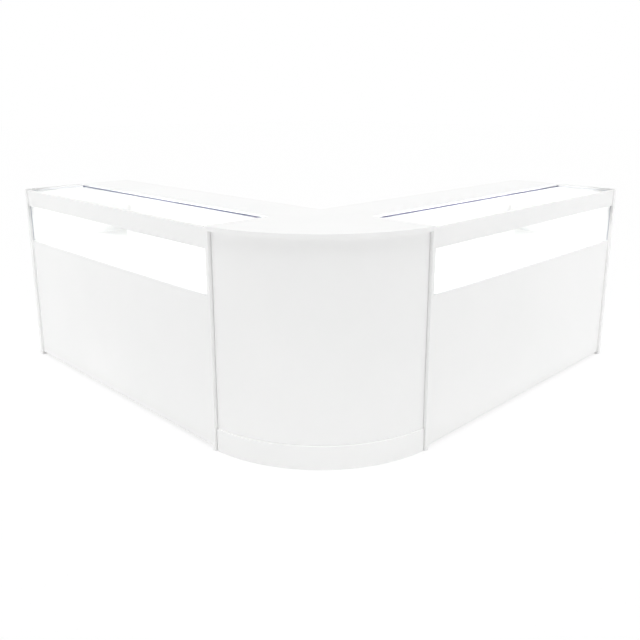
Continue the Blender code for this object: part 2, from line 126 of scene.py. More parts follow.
class NodeSheet:
    """Places and links the nodes of one tree."""

    def __init__(self, tree: bpy.types.NodeTree) -> None:
        """Starts with an empty tree."""
        self.tree = tree
        tree.nodes.clear()

    def socket(self, label: str, kind: str, way: str = "INPUT") -> bpy.types.NodeTreeInterfaceSocket:
        """Adds a socket to the tree's own inputs or outputs."""
        return self.tree.interface.new_socket(label, in_out=way, socket_type=f"NodeSocket{kind}")

    def add(self, kind: str, inputs: Inputs | None = None, **settings: object) -> bpy.types.Node:
        """Adds one node.

        Args:
            kind: The node's type name.
            inputs: A value or an output socket for each named or numbered input.
            **settings: The node's own properties.

        Returns:
            The new node.
        """
        node = self.tree.nodes.new(kind)
        for name, value in settings.items():
            setattr(node, name, value)
        for key, value in (inputs or {}).items():
            if isinstance(value, Socket):
                self.tree.links.new(value, node.inputs[key])
            else:
                node.inputs[key].default_value = value
        return node

    def take(
        self, kind: str, inputs: Inputs | None = None, output: str | int = 0, **settings: object
    ) -> Socket:
        """Adds one node and gives one of its outputs."""
        return self.add(kind, inputs, **settings).outputs[output]

    def maths(self, operation: str, first: object, second: object = 0.0) -> Socket:
        """Adds a Math node and gives its result."""
        return self.take("ShaderNodeMath", {0: first, 1: second}, operation=operation)

    def remap(self, value: Socket, start: Point2 = UNIT, end: Point2 = UNIT) -> Socket:
        """Maps a value from one range to another, held to the ends."""
        inputs = {0: value, 1: start[0], 2: start[1], 3: end[0], 4: end[1]}
        return self.take("ShaderNodeMapRange", inputs)

    def blend(self, mask: Socket, low: Colour | Socket, high: Colour | Socket) -> Socket:
        """Mixes two colours by a mask, from the low one at 0 to the high one at 1."""
        ends = [colour if isinstance(colour, Socket) else (*colour, 1.0) for colour in (low, high)]
        return self.take("ShaderNodeMix", {0: mask, 6: ends[0], 7: ends[1]}, 2, data_type="RGBA")

    def noise(
        self, place: Socket, scale: float | Socket, detail: float = 2.0, warp: float = 0.0
    ) -> Socket:
        """Adds a Noise texture and gives its grey value."""
        inputs = {"Vector": place, "Scale": scale, "Detail": detail, "Distortion": warp}
        return self.take("ShaderNodeTexNoise", inputs)


class EffectGroup:
    """A shader node group for one effect that several finishes share."""

    def __init__(self, name: str, inputs: dict[str, float], outputs: Sequence[str]) -> None:
        """Starts a group that reads a place on the piece.

        Args:
            name: The group's name.
            inputs: The names of its number inputs, with their usual values.
            outputs: The names of its masks and heights.
        """
        self.sheet = NodeSheet(bpy.data.node_groups.new(name, "ShaderNodeTree"))
        self.sheet.socket("Vector", "Vector")
        for label, usual in inputs.items():
            self.sheet.socket(label, "Float").default_value = usual
        for label in outputs:
            self.sheet.socket(label, "Float", "OUTPUT")
        self.given = self.sheet.add("NodeGroupInput").outputs

    def scaled(self, label: str) -> Socket:
        """A number input times the group's Scale."""
        return self.sheet.maths("MULTIPLY", self.given["Scale"], self.given[label])

    def noise(self, label: str, detail: float = 2.0, warp: float = 0.0) -> Socket:
        """A noise at the place, as fine as a number input says at the group's Scale."""
        return self.sheet.noise(self.given["Vector"], self.scaled(label), detail, warp)

    def give(self, **sockets: Socket) -> bpy.types.NodeTree:
        """Links the group's outputs and gives its tree."""
        self.sheet.add("NodeGroupOutput", sockets)
        return self.sheet.tree


@cache
def pearl_grain() -> bpy.types.NodeTree:
    """Fine pearl texture of a coated board, with slow clouds of tone.

    Returns:
        The group's tree.
    """
    usual = {"Scale": 1.0, "Fine": 1100.0, "Pits": 620.0, "Pit Depth": 0.6, "Clouds": 2.4}
    group = EffectGroup("pearl_grain", usual, ("Height", "Cloud"))
    sheet, given = group.sheet, group.given
    cells = {"Vector": given["Vector"], "Scale": group.scaled("Pits")}
    pits = sheet.take("ShaderNodeTexVoronoi", cells, "Distance")
    height = sheet.maths("ADD", group.noise("Fine"), sheet.maths("MULTIPLY", pits, given["Pit Depth"]))
    cloud = sheet.remap(group.noise("Clouds", detail=4.0), start=(0.35, 0.65))
    return group.give(Height=height, Cloud=cloud)


@cache
def handling_marks() -> bpy.types.NodeTree:
    """Faint smears and rubs left by hands and cloths.

    Returns:
        The group's tree.
    """
    group = EffectGroup("handling_marks", {"Scale": 1.0, "Smears": 7.0, "Rubs": 46.0}, ("Mask",))
    sheet = group.sheet
    smear = sheet.remap(group.noise("Smears", detail=5.0, warp=0.8), start=(0.48, 0.72))
    rub = group.noise("Rubs", detail=3.0, warp=1.5)
    broken = sheet.remap(rub, start=(0.30, 0.70), end=(0.35, 1.0))
    return group.give(Mask=sheet.maths("MULTIPLY", smear, broken))


@cache
def floor_dust() -> bpy.types.NodeTree:
    """Dust and mop marks that thin out upwards from the floor.

    Returns:
        The group's tree.
    """
    group = EffectGroup("floor_dust", {"Reach": 0.1, "Amount": 0.1, "Patches": 24.0}, ("Mask",))
    sheet, given = group.sheet, group.given
    level = sheet.take("ShaderNodeSeparateXYZ", {0: given["Vector"]}, "Z")
    low = sheet.remap(sheet.maths("DIVIDE", level, given["Reach"]), end=(1.0, 0.0))
    patch = sheet.noise(given["Vector"], given["Patches"], detail=4.0)
    mask = sheet.maths("MULTIPLY", low, low)
    for part in (sheet.remap(patch, start=(0.3, 0.7), end=(0.4, 1.0)), given["Amount"]):
        mask = sheet.maths("MULTIPLY", mask, part)
    return group.give(Mask=mask)


@cache
def brushed_lines() -> bpy.types.NodeTree:
    """Fine drawn lines along X of the place that it is given.

    Returns:
        The group's tree.
    """
    group = EffectGroup("brushed_lines", {"Pitch": 1.0}, ("Height",))
    stretch = {"Vector": group.given["Vector"], "Scale": (4.0, 900.0, 900.0)}
    drawn = group.sheet.take("ShaderNodeMapping", stretch)
    return group.give(Height=group.sheet.noise(drawn, group.given["Pitch"], detail=3.0))


@dataclass(frozen=True)
class Finish:
    """A finish whose material is made on its first use."""

    name: str

    def material(self) -> bpy.types.Material:
        """The material of this finish.

        Returns:
            The material that was made first.
        """
        found = bpy.data.materials.get(self.name)
        if found:
            return found
        made = bpy.data.materials.new(self.name)
        made.use_nodes = True
        sheet = NodeSheet(made.node_tree)
        place = sheet.take("ShaderNodeTexCoord", output="Object")
        sheet.add("ShaderNodeOutputMaterial", {"Surface": self.dress(sheet, place)})
        return made

    def dress(self, sheet: NodeSheet, place: Socket) -> Socket:
        """Lays out the nodes of this finish.

        Args:
            sheet: The material's node sheet.
            place: Object coordinates.

        Returns:
            The shader that covers the surface.
        """
        raise NotImplementedError

    @staticmethod
    def effect(
        sheet: NodeSheet, tree: bpy.types.NodeTree, place: Socket, **values: float
    ) -> dict[str, Socket]:
        """Places a shared effect and gives its outputs by name."""
        node = sheet.add("ShaderNodeGroup", {"Vector": place, **values}, node_tree=tree)
        return {socket.name: socket for socket in node.outputs}

    @staticmethod
    def bump(sheet: NodeSheet, height: Socket, strength: float, depth: float) -> Socket:
        """A normal bent by a height."""
        inputs = {"Strength": strength, "Distance": depth, "Height": height}
        return sheet.take("ShaderNodeBump", inputs)


@dataclass(frozen=True)
class SkinFinish(Finish):
    """A pale skin with slow clouds, a fine grain and handling marks, as on moulded plastic."""

    face: Colour = (0.86, 0.86, 0.855)
    cloud: Colour = (0.83, 0.83, 0.83)
    sheen_range: Point2 = (0.30, 0.46)
    grain: float = 0.08
    grain_depth: float = 0.0002
    pearl_scale: float = 1.6
    mark_scale: float = 3.0

    def dress(self, sheet: NodeSheet, place: Socket) -> Socket:
        """Lays out clouds, grain and marks.

        Args:
            sheet: The material's node sheet.
            place: Object coordinates.

        Returns:
            The shader that covers the surface.
        """
        pearl = self.effect(sheet, pearl_grain(), place, Scale=self.pearl_scale)
        marks = self.effect(sheet, handling_marks(), place, Scale=self.mark_scale)
        clean = sheet.blend(pearl["Cloud"], self.face, self.cloud)
        inputs = {
            "Base Color": self.soiled(sheet, place, clean),
            "Roughness": sheet.remap(marks["Mask"], end=self.sheen_range),
            "Normal": self.bump(sheet, pearl["Height"], self.grain, self.grain_depth),
        }
        return sheet.take("ShaderNodeBsdfPrincipled", inputs)

    def soiled(self, sheet: NodeSheet, place: Socket, clean: Socket) -> Socket:
        """The colour with what lies on it, here nothing."""
        return clean


@dataclass(frozen=True)
class BoardFinish(SkinFinish):
    """White coated board or its edging, with a little floor dust."""

    face: Colour = (0.915, 0.916, 0.912)
    cloud: Colour = (0.900, 0.903, 0.899)
    sheen_range: Point2 = (0.43, 0.50)
    grain: float = 0.10
    pearl_scale: float = 1.0
    mark_scale: float = 1.0
    dust: Colour = (0.74, 0.73, 0.70)
    dust_reach: float = 0.11
    dust_amount: float = 0.10

    def soiled(self, sheet: NodeSheet, place: Socket, clean: Socket) -> Socket:
        """The colour with dust near the floor."""
        amounts = {"Reach": self.dust_reach, "Amount": self.dust_amount}
        return sheet.blend(self.effect(sheet, floor_dust(), place, **amounts)["Mask"], clean, self.dust)


@dataclass(frozen=True)
class MetalFinish(Finish):
    """Drawn or plated metal, its lines turned about Z to follow the piece."""

    face: Colour = (0.78, 0.79, 0.80)
    line: Colour = (0.66, 0.67, 0.69)
    sheen_range: Point2 = (0.24, 0.38)
    grain: float = 0.12
    grain_depth: float = 0.0001
    mark_scale: float = 4.0
    turn: float = 0.0

    def dress(self, sheet: NodeSheet, place: Socket) -> Socket:
        """Lays out drawn lines in colour, sheen and relief.

        Args:
            sheet: The material's node sheet.
            place: Object coordinates.

        Returns:
            The shader that covers the surface.
        """
        turned = {"Vector": place, "Rotation": (0.0, 0.0, self.turn)}
        lines = self.effect(sheet, brushed_lines(), sheet.take("ShaderNodeMapping", turned))["Height"]
        marks = self.effect(sheet, handling_marks(), place, Scale=self.mark_scale)
        soft = sheet.maths("MULTIPLY", sheet.maths("ADD", lines, marks["Mask"]), 0.5)
        inputs = {
            "Base Color": sheet.blend(lines, self.face, self.line),
            "Metallic": 1.0,
            "Roughness": sheet.remap(soft, end=self.sheen_range),
            "Normal": self.bump(sheet, lines, self.grain, self.grain_depth),
        }
        return sheet.take("ShaderNodeBsdfPrincipled", inputs)


@dataclass(frozen=True)
class GlassFinish(Finish):
    """Clear float glass with faint smears, which lets lamp light through."""

    tint: Colour = (0.985, 0.992, 0.990)
    smear_range: Point2 = (0.0, 0.03)
    mark_scale: float = 1.4
    bending: float = 1.5

    def dress(self, sheet: NodeSheet, place: Socket) -> Socket:
        """Lays out glass to every ray but those from lamps, which it only tints.

        Args:
            sheet: The material's node sheet.
            place: Object coordinates.

        Returns:
            The shader that covers the surface.
        """
        marks = self.effect(sheet, handling_marks(), place, Scale=self.mark_scale)
        pane = {
            "Base Color": (*self.tint, 1.0),
            "Roughness": sheet.remap(marks["Mask"], end=self.smear_range),
            "IOR": self.bending,
            "Transmission Weight": 1.0,
        }
        glass = sheet.take("ShaderNodeBsdfPrincipled", pane)
        clear = sheet.take("ShaderNodeBsdfTransparent", {"Color": (*self.tint, 1.0)})
        lamp_ray = sheet.take("ShaderNodeLightPath", output="Is Shadow Ray")
        return sheet.take("ShaderNodeMixShader", {0: lamp_ray, 1: glass, 2: clear})


@dataclass(frozen=True)
class DeepFinish(Finish):
    """Surface with a mottled tone, for the edges of a pane and for rubber seals; its dark instances
    paint shade.
    """

    deep: Colour = (0.110, 0.120, 0.300)
    pale: Colour = (0.200, 0.215, 0.420)
    sheen_range: Point2 = (0.25, 0.45)
    grain: float = 0.15
    grain_depth: float = 0.0001
    pearl_scale: float = 2.0
    patches: float = 90.0

    def dress(self, sheet: NodeSheet, place: Socket) -> Socket:
        """Lays out two tones in fine patches, with a ground relief.

        Args:
            sheet: The material's node sheet.
            place: Object coordinates.

        Returns:
            The shader that covers the surface.
        """
        pearl = self.effect(sheet, pearl_grain(), place, Scale=self.pearl_scale)
        patch = sheet.noise(place, self.patches, detail=3.0)
        inputs = {
            "Base Color": sheet.blend(patch, self.deep, self.pale),
            "Roughness": sheet.remap(patch, start=(0.2, 0.8), end=self.sheen_range),
            "Normal": self.bump(sheet, pearl["Height"], self.grain, self.grain_depth),
        }
        return sheet.take("ShaderNodeBsdfPrincipled", inputs)


@dataclass(frozen=True)
class LampCoverFinish(Finish):
    """Opal cover that glows a little stronger over each of the diodes behind it."""

    face: Colour = (0.92, 0.93, 0.94)
    cloud: Colour = (0.88, 0.90, 0.92)
    sheen_range: Point2 = (0.45, 0.60)
    between: Colour = (0.96, 0.97, 1.00)
    over_diode: Colour = (1.00, 1.00, 1.00)
    pitch: float = 0.0166
    strength: float = 3.0

    def dress(self, sheet: NodeSheet, place: Socket) -> Socket:
        """Lays out a glow that rises and falls along the bar, on either wing.

        Args:
            sheet: The material's node sheet.
            place: Object coordinates.

        Returns:
            The shader that covers the surface.
        """
        both = {0: place, 1: (1.0, 1.0, 0.0)}
        along = sheet.take("ShaderNodeVectorMath", both, "Value", operation="DOT_PRODUCT")
        phase = sheet.maths("MULTIPLY", along, 2 * math.pi / self.pitch)
        rhythm = sheet.remap(sheet.maths("SINE", phase), start=(-1.0, 1.0))
        pearl = self.effect(sheet, pearl_grain(), place)
        inputs = {
            "Base Color": sheet.blend(pearl["Cloud"], self.face, self.cloud),
            "Roughness": sheet.remap(pearl["Height"], end=self.sheen_range),
            "Emission Color": sheet.blend(rhythm, self.between, self.over_diode),
            "Emission Strength": self.strength,
        }
        return sheet.take("ShaderNodeBsdfPrincipled", inputs)


BOARD = BoardFinish("white_melamine")
EDGING = BoardFinish("white_edging", sheen_range=(0.36, 0.41), grain=0.03)
TRACK_PLASTIC = SkinFinish("white_track_plastic")
CAP_PLASTIC = SkinFinish("white_cap_plastic", face=(0.84, 0.84, 0.83), sheen_range=(0.38, 0.52))
NICKEL = MetalFinish("satin_nickel", face=(0.72, 0.71, 0.68), line=(0.60, 0.59, 0.57))
GLASS = GlassFinish("showcase_glass")
# Painted shade: the pane's rear edge is coloured dark navy for the shade seen in a glass edge.
SHADED_GLASS_EDGE = DeepFinish("ground_glass_edge")
BRIGHT_EDGE = DeepFinish("bright_glass_edge", deep=(0.660, 0.690, 0.760), pale=(0.760, 0.790, 0.840))
# A seal whose dark navy tone also paints the shade line along the glass's rear edge and ends.
SEAL_AND_SHADE = DeepFinish("glazing_seal", deep=(0.020, 0.022, 0.080), pale=(0.042, 0.045, 0.140), grain=0.3)
LAMP_COVER = LampCoverFinish("opal_lamp_cover")
ALUMINIUM = {
    Side.RIGHT: MetalFinish("satin_aluminium_right"),
    Side.LEFT: MetalFinish("satin_aluminium_left", turn=math.pi / 2),
}


def rectangle(wide: float, tall: float) -> list[Point2]:
    """Corners of a rectangle about the origin."""
    return [(x * wide / 2, y * tall / 2) for x, y in ((-1, -1), (1, -1), (1, 1), (-1, 1))]


def circle(middle: Point2, radius: float, steps: int = ROUND_STEPS) -> list[Point2]:
    """Corners of a round hole or disc.

    Args:
        middle: Centre of the round.
        radius: Distance from the centre to each corner.
        steps: Number of corners.

    Returns:
        Corners in order, anticlockwise from the x axis.
    """
    x, y = middle
    turns = [2 * math.pi * step / steps for step in range(steps)]
    return [(x + radius * math.cos(turn), y + radius * math.sin(turn)) for turn in turns]


def eased_rim(radius: float, low: float, high: float, ease: float) -> list[Point2]:
    """Profile up the side of a turned part, whose upper edge is eased."""
    return [(radius, low), (radius, high - ease), (radius - ease, high)]


def flipped(profile: Sequence[Point2]) -> list[Point2]:
    """A profile mirrored about height zero, so that it goes on from its own start or end."""
    return [(radius, -height) for radius, height in reversed(profile)]


def slab(
    outline: Sequence[Point2], low: float, high: float, holes: Sequence[Sequence[Point2]] = ()
) -> Shell:
    """A flat outline, with any holes, given a thickness along its own Z.

    Args:
        outline: Corners of the outline.
        low: Level of its underside.
        high: Level of its upper side.
        holes: Corners of each hole.

    Returns:
        The closed shell.
    """
    shell = bmesh.new()
    loops = [outline, *holes]
    rings = []
    for loop in loops:
        rings.append([[shell.verts.new((x, y, z)) for x, y in loop] for z in (low, high)])
    for bottom, top in rings:
        for i, corner in enumerate(bottom):
            j = (i + 1) % len(bottom)
            shell.faces.new((corner, bottom[j], top[j], top[i]))
    for level in range(2):
        flat = [vertex for ring in rings for vertex in ring[level]]
        corners = [range(len(flat))]
        if holes:
            corners = tessellate_polygon([[(x, y, 0.0) for x, y in loop] for loop in loops])
        for face in corners:
            shell.faces.new([flat[i] for i in face])
    bmesh.ops.recalc_face_normals(shell, faces=shell.faces)
    return shell


def lathe(profile: Sequence[Point2], steps: int = ROUND_STEPS, ring: bool = False) -> Shell:
    """A solid of revolution about its own Z.

    Args:
        profile: Radius and height of each corner, from axis to axis, or round a ring's section.
        steps: Facets round the axis.
        ring: True where the profile closes on itself and misses the axis.

    Returns:
        The closed shell.
    """
    shell = bmesh.new()
    rounds = []
    for radius, height in profile:
        spots = circle((0.0, 0.0), radius, steps) if radius else [(0.0, 0.0)]
        rounds.append([shell.verts.new((*spot, height)) for spot in spots])
    following = rounds[1:] + (rounds[:1] if ring else [])
    for lower, upper in zip(rounds, following):
        for i in range(steps):
            j = (i + 1) % steps
            corners = [lower[i % len(lower)], lower[j % len(lower)]]
            corners += [upper[j % len(upper)], upper[i % len(upper)]]
            shell.faces.new(list(dict.fromkeys(corners)))
    bmesh.ops.recalc_face_normals(shell, faces=shell.faces)
    return shell


def soften(shell: Shell, width: float, segments: int = 3) -> Shell:
    """Rounds the sharp outward edges of a shell.

    Args:
        shell: The shell, which is changed.
        width: Width of the rounding.
        segments: Facets of the rounding.

    Returns:
        The same shell.
    """
    sharp = [edge for edge in shell.edges if edge.calc_face_angle_signed() > SOFTEN_ABOVE]
    bmesh.ops.bevel(shell, geom=sharp, offset=width, segments=segments, affect="EDGES", profile=0.5)
    return shell


def put(name: str, data: bpy.types.ID) -> bpy.types.Object:
    """Makes an object and links it to the scene.

    Args:
        name: The object's name.
        data: Its mesh, lamp or camera.

    Returns:
        The new object.
    """
    made = bpy.data.objects.new(name, data)
    bpy.context.scene.collection.objects.link(made)
    return made


def as_mesh(shell: Shell, name: str) -> bpy.types.Mesh:
    """Turns a shell into a mesh and frees it.

    Args:
        shell: The shell.
        name: The mesh's name.

    Returns:
        The new mesh.
    """
    mesh = bpy.data.meshes.new(name)
    shell.to_mesh(mesh)
    shell.free()
    return mesh


def drop(helper: bpy.types.Object) -> None:
    """Removes a helper object and its mesh.

    Args:
        helper: The object.
    """
    mesh = helper.data
    bpy.data.objects.remove(helper)
    bpy.data.meshes.remove(mesh)


def plain_mesh(helper: bpy.types.Object) -> bpy.types.Mesh:
    """Bakes a helper's modifiers, and removes them and the helper.

    Args:
        helper: The object.

    Returns:
        The mesh as its modifiers leave it.
    """
    graph = bpy.context.evaluated_depsgraph_get()
    made = bpy.data.meshes.new_from_object(helper.evaluated_get(graph), depsgraph=graph)
    helper.modifiers.clear()
    drop(helper)
    return made


def evenly_shaded(mesh: bpy.types.Mesh) -> bpy.types.Mesh:
    """Shades flat faces flat and round edges smooth.

    Args:
        mesh: The mesh, which is removed.

    Returns:
        A copy of it, of the same name.
    """
    mesh.shade_smooth()
    mesh.set_sharp_from_angle(angle=SMOOTH_BELOW)
    name = mesh.name
    helper = put(name, mesh)
    helper.modifiers.new("by_face_area", "WEIGHTED_NORMAL").keep_sharp = True
    made = plain_mesh(helper)
    made.name = name
    return made


def as_shell(mesh: bpy.types.Mesh) -> Shell:
    """Turns a mesh into a shell, with every normal outwards.

    Args:
        mesh: The mesh, which is removed.

    Returns:
        The shell.
    """
    shell = bmesh.new()
    shell.from_mesh(mesh)
    bpy.data.meshes.remove(mesh)
    bmesh.ops.remove_doubles(shell, verts=shell.verts, dist=WELD)
    bmesh.ops.recalc_face_normals(shell, faces=shell.faces)
    return shell


def cut(shell: Shell, *cutters: Shell) -> Shell:
    """Takes cutters out of a shell.

    Args:
        shell: The shell, which is freed.
        *cutters: What is taken out, freed too.

    Returns:
        What is left.
    """
    helper = put("blank", as_mesh(shell, "blank"))
    tools = [put("cutter", as_mesh(cutter, "cutter")) for cutter in cutters]
    for tool in tools:
        taken = helper.modifiers.new("cut", "BOOLEAN")
        taken.object = tool
        taken.solver = "EXACT"
    made = as_shell(plain_mesh(helper))
    for tool in tools:
        drop(tool)
    return made


@dataclass(frozen=True)
class Box:
    """A box in a wing's own axes, or in the frame's."""

    low: Vector
    high: Vector

    @property
    def size(self) -> Vector:
        """Length of each side."""
        return self.high - self.low

    @property
    def middle(self) -> Vector:
        """Its middle."""
        return (self.low + self.high) / 2

    @property
    def thin(self) -> int:
        """The axis of its thinnest side."""
        return min(range(3), key=lambda axis: self.size[axis])

    @property
    def plane(self) -> Matrix:
        """Its middle plane.

        Returns:
            The plane's matrix, whose Z is the thin axis.
        """
        turned = Matrix.Translation(self.middle)
        for column in range(3):
            axis = Vector((0.0, 0.0, 0.0))
            axis[(self.thin + 1 + column) % 3] = 1.0
            turned.col[column] = (*axis, 0.0)
        return turned

    def outline(self, inset: float = 0.0) -> list[Point2]:
        """Corners of its middle plane, drawn in from its edges."""
        wide, tall = (self.size[(self.thin + turn) % 3] - 2 * inset for turn in (1, 2))
        return rectangle(wide, tall)

    def hole(self, spot: Vector, radius: float, steps: int = ROUND_STEPS) -> list[Point2]:
        """Corners of a round hole at a spot, in its middle plane."""
        flat = self.plane.inverted() @ spot
        return circle((flat.x, flat.y), radius, steps)

    def shell(self, rounding: float, segments: int = 3) -> Shell:
        """A block that fills the box, with rounded edges, in the axes of its plane."""
        half = self.size[self.thin] / 2
        return soften(slab(self.outline(), -half, half), rounding, segments)


@dataclass(frozen=True)
class Wing:
    """One straight wing, and where its own axes lie."""

    side: Side

    def node(self, piece: str) -> str:
        """Name of a CAD node of this wing."""
        return f"{self.side.value}_{piece}"

    @cached_property
    def ends(self) -> tuple[str, str]:
        """The end panels at the start and at the end of the wing's X axis."""
        names = ("inner_end_panel", "outer_end_panel")
        return names if self.side is Side.RIGHT else names[::-1]

    @cached_property
    def matrix(self) -> Matrix:
        """Puts the wing's own axes in the frame.

        Returns:
            The matrix from the wing's axes to the frame's.
        """
        low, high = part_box(self.node(self.ends[0]))
        if self.side is Side.RIGHT:
            return Matrix.Translation((low.x, low.y, 0.0))
        turned = Matrix.Rotation(-math.pi / 2, 4, "Z")
        return Matrix.Translation((low.x, high.y, 0.0)) @ turned

    def box(self, piece: str) -> Box:
        """A CAD node's box in the wing's own axes."""
        corners = [self.matrix.inverted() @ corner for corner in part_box(self.node(piece))]
        return Box(*(Vector(map(pick, *corners)) for pick in (min, max)))


class Piece:
    """Gathers closed shells and their finishes into one object of the counter."""

    def __init__(self, name: str, matrix: Matrix, node: str = "") -> None:
        """Starts a piece without shells.

        Args:
            name: The piece's name.
            matrix: Where the axes of its shells lie.
            node: The CAD node that it stands for, if any.
        """
        self.name = name
        self.matrix = matrix
        self.node = node
        self.shape = bmesh.new()
        self.finishes: list[Finish] = []

    def index(self, finish: Finish) -> int:
        """Material index of a finish on this piece.

        Args:
            finish: The finish, which is added where it is new.

        Returns:
            Its index.
        """
        if finish not in self.finishes:
            self.finishes.append(finish)
        return self.finishes.index(finish)

    def add(
        self,
        shell: Shell,
        finish: Finish | Callable[[bmesh.types.BMFace], Finish],
        place: Matrix = Matrix(),
    ) -> "Piece":
        """Adds one closed shell, which it frees.

        Args:
            shell: The shell, in its own axes.
            finish: Its finish, or what chooses one for a face.
            place: Where the shell's axes lie.

        Returns:
            This piece.
        """
        for face in shell.faces:
            chosen = finish if isinstance(finish, Finish) else finish(face)
            face.material_index = self.index(chosen)
        shell.transform(place)
        carrier = as_mesh(shell, "carrier")
        self.shape.from_mesh(carrier)
        bpy.data.meshes.remove(carrier)
        return self

    def settle(self, slot: Slot, body: str = ROOT_BODY) -> None:
        """Makes the object, says what it rides on, and hides the CAD node that it stands for.

        Args:
            slot: Not used.
            body: The body that it moves with, where it stands for no CAD node.
        """
        nodes = []
        if self.node:
            nodes = [self.node]
            body = frame["nodes"][self.node]["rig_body"]
        self.shape.transform(self.matrix)
        mesh = as_mesh(self.shape, self.name)
        for finish in self.finishes:
            mesh.materials.append(finish.material())
        made = put(self.name, evenly_shaded(mesh))
        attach(made, body)
        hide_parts(*nodes)
        LOG.info("%s: %d faces on %s", self.name, len(made.data.polygons), body)


class Recipe:
    """A Geometry Nodes tree with named inputs, run into a plain mesh."""

    NAME = ""
    INPUTS: dict[str, str] = {}

    def __init__(self) -> None:
        """Builds the tree, which ends in realized geometry with its finish."""
        self.sheet = NodeSheet(bpy.data.node_groups.new(self.NAME, "GeometryNodeTree"))
        self.sheet.socket("Geometry", "Geometry")
        self.identifiers = {}
        for label, kind in {**self.INPUTS, "Finish": "Material"}.items():
            self.identifiers[label] = self.sheet.socket(label, kind).identifier
        self.sheet.socket("Geometry", "Geometry", "OUTPUT")
        self.given = self.sheet.add("NodeGroupInput").outputs
        real = self.sheet.take("GeometryNodeRealizeInstances", {"Geometry": self.lay_out()})
        dressed = {"Geometry": real, "Material": self.given["Finish"]}
        covered = self.sheet.take("GeometryNodeSetMaterial", dressed)
        self.sheet.add("NodeGroupOutput", {"Geometry": covered})

    def lay_out(self) -> Socket:
        """Lays out the tree's nodes and gives the shape that they make."""
        raise NotImplementedError

    def run(
        self,
        points: Sequence[Sequence[float]],
        edges: Sequence[tuple[int, int]] = (),
        facing: Sequence[Vector] = (),
        **values: object,
    ) -> Shell:
        """Runs the tree on a few points.

        Args:
            points: Where the tree starts from.
            edges: The pairs of points that are joined.
            facing: The way that each point faces, where the tree asks for it.
            **values: The tree's inputs by name.

        Returns:
            The shell that it makes.
        """
        mesh = bpy.data.meshes.new(self.NAME)
        mesh.from_pydata([tuple(point) for point in points], edges, [])
        if facing:
            layer = mesh.attributes.new(FACING, "FLOAT_VECTOR", "POINT")
            layer.data.foreach_set("vector", [number for way in facing for number in way])
        helper = put(self.NAME, mesh)
        grown = helper.modifiers.new("recipe", "NODES")
        grown.node_group = self.sheet.tree
        for label, value in values.items():
            grown[self.identifiers[label]] = value.material() if isinstance(value, Finish) else value
        return as_shell(plain_mesh(helper))


class EdgeStripRecipe(Recipe):
    """A strip of one section that follows a path, with rounded outer corners."""

    NAME = "edge_strip"
    INPUTS = dict.fromkeys(("Width", "Height", "Rounding", "Seam", "Corner"), "Float")
    EASE_STEPS = 3

    def eased(self, curve: Socket, radius: Socket) -> Socket:
        """A curve with its corners rounded."""
        inputs = {"Curve": curve, "Radius": radius, "Count": self.EASE_STEPS, "Limit Radius": True}
        return self.sheet.take("GeometryNodeFilletCurve", inputs, mode="POLY")

    def lay_out(self) -> Socket:
        """Sweeps the section along the path.

        Returns:
            The strip.
        """
        sheet, given = self.sheet, self.given
        path = sheet.take("GeometryNodeMeshToCurve", {"Mesh": given["Geometry"]})
        eased = {"Curve": self.eased(path, given["Corner"])}
        level = sheet.take("GeometryNodeSetCurveNormal", eased, mode="Z_UP")
        sides = {"Width": given["Width"], "Height": given["Height"]}
        section = sheet.take("GeometryNodeCurvePrimitiveQuadrilateral", sides)
        spot = sheet.take("GeometryNodeInputPosition")
        across = sheet.take("ShaderNodeSeparateXYZ", {0: spot}, "X")
        outer = sheet.take("FunctionNodeCompare", {0: across, 1: 0.0})
        choice = {"Switch": outer, "False": given["Seam"], "True": given["Rounding"]}
        radius = sheet.take("GeometryNodeSwitch", choice, input_type="FLOAT")
        swept = {"Curve": level, "Profile Curve": self.eased(section, radius), "Fill Caps": True}
        return sheet.take("GeometryNodeCurveToMesh", swept)

    def follow(
        self, path: Sequence[Point2], closed: bool, size: Point2, finish: Finish, **rounds: float
    ) -> Shell:
        """Runs the strip along a path in its own plane.

        Args:
            path: The strip's middle line.
            closed: True where the last point is joined to the first.
            size: Width and height of its section.
            finish: The strip's finish.
            **rounds: Rounding of its outer side, its Seam side and the path's Corner.

        Returns:
            The strip.
        """
        edges = [(i, i + 1) for i in range(len(path) - 1)]
        if closed:
            edges.append((len(path) - 1, 0))
        spots = [(x, y, 0.0) for x, y in path]
        return self.run(spots, edges, Width=size[0], Height=size[1], Finish=finish, **rounds)


class FittingRecipe(Recipe):
    """Copies of one small fitting, each turned to face out of what carries it."""

    NAME = "fittings"
    INPUTS = {"Fitting": "Object", "Spin": "Float", "Seed": "Int"}

    def lay_out(self) -> Socket:
        """Puts a copy on each point, spun at random about its own axis.

        Returns:
            The copies.
        """
        sheet, given = self.sheet, self.given
        named = {"Name": FACING}
        facing = sheet.take("GeometryNodeInputNamedAttribute", named, data_type="FLOAT_VECTOR")
        turned = sheet.take("FunctionNodeAlignRotationToVector", {"Vector": facing})
        draw = {3: given["Spin"], "Seed": given["Seed"]}
        about = {"Axis": (0.0, 0.0, 1.0), "Angle": sheet.take("FunctionNodeRandomValue", draw, 1)}
        spin = sheet.take("FunctionNodeAxisAngleToRotation", about)
        both = {"Rotation": turned, "Rotate By": spin}
        rotation = sheet.take("FunctionNodeRotateRotation", both, rotation_space="LOCAL")
        fitting = sheet.take("GeometryNodeObjectInfo", {"Object": given["Fitting"]}, "Geometry")
        copies = {"Points": given["Geometry"], "Instance": fitting, "Rotation": rotation}
        return sheet.take("GeometryNodeInstanceOnPoints", copies)


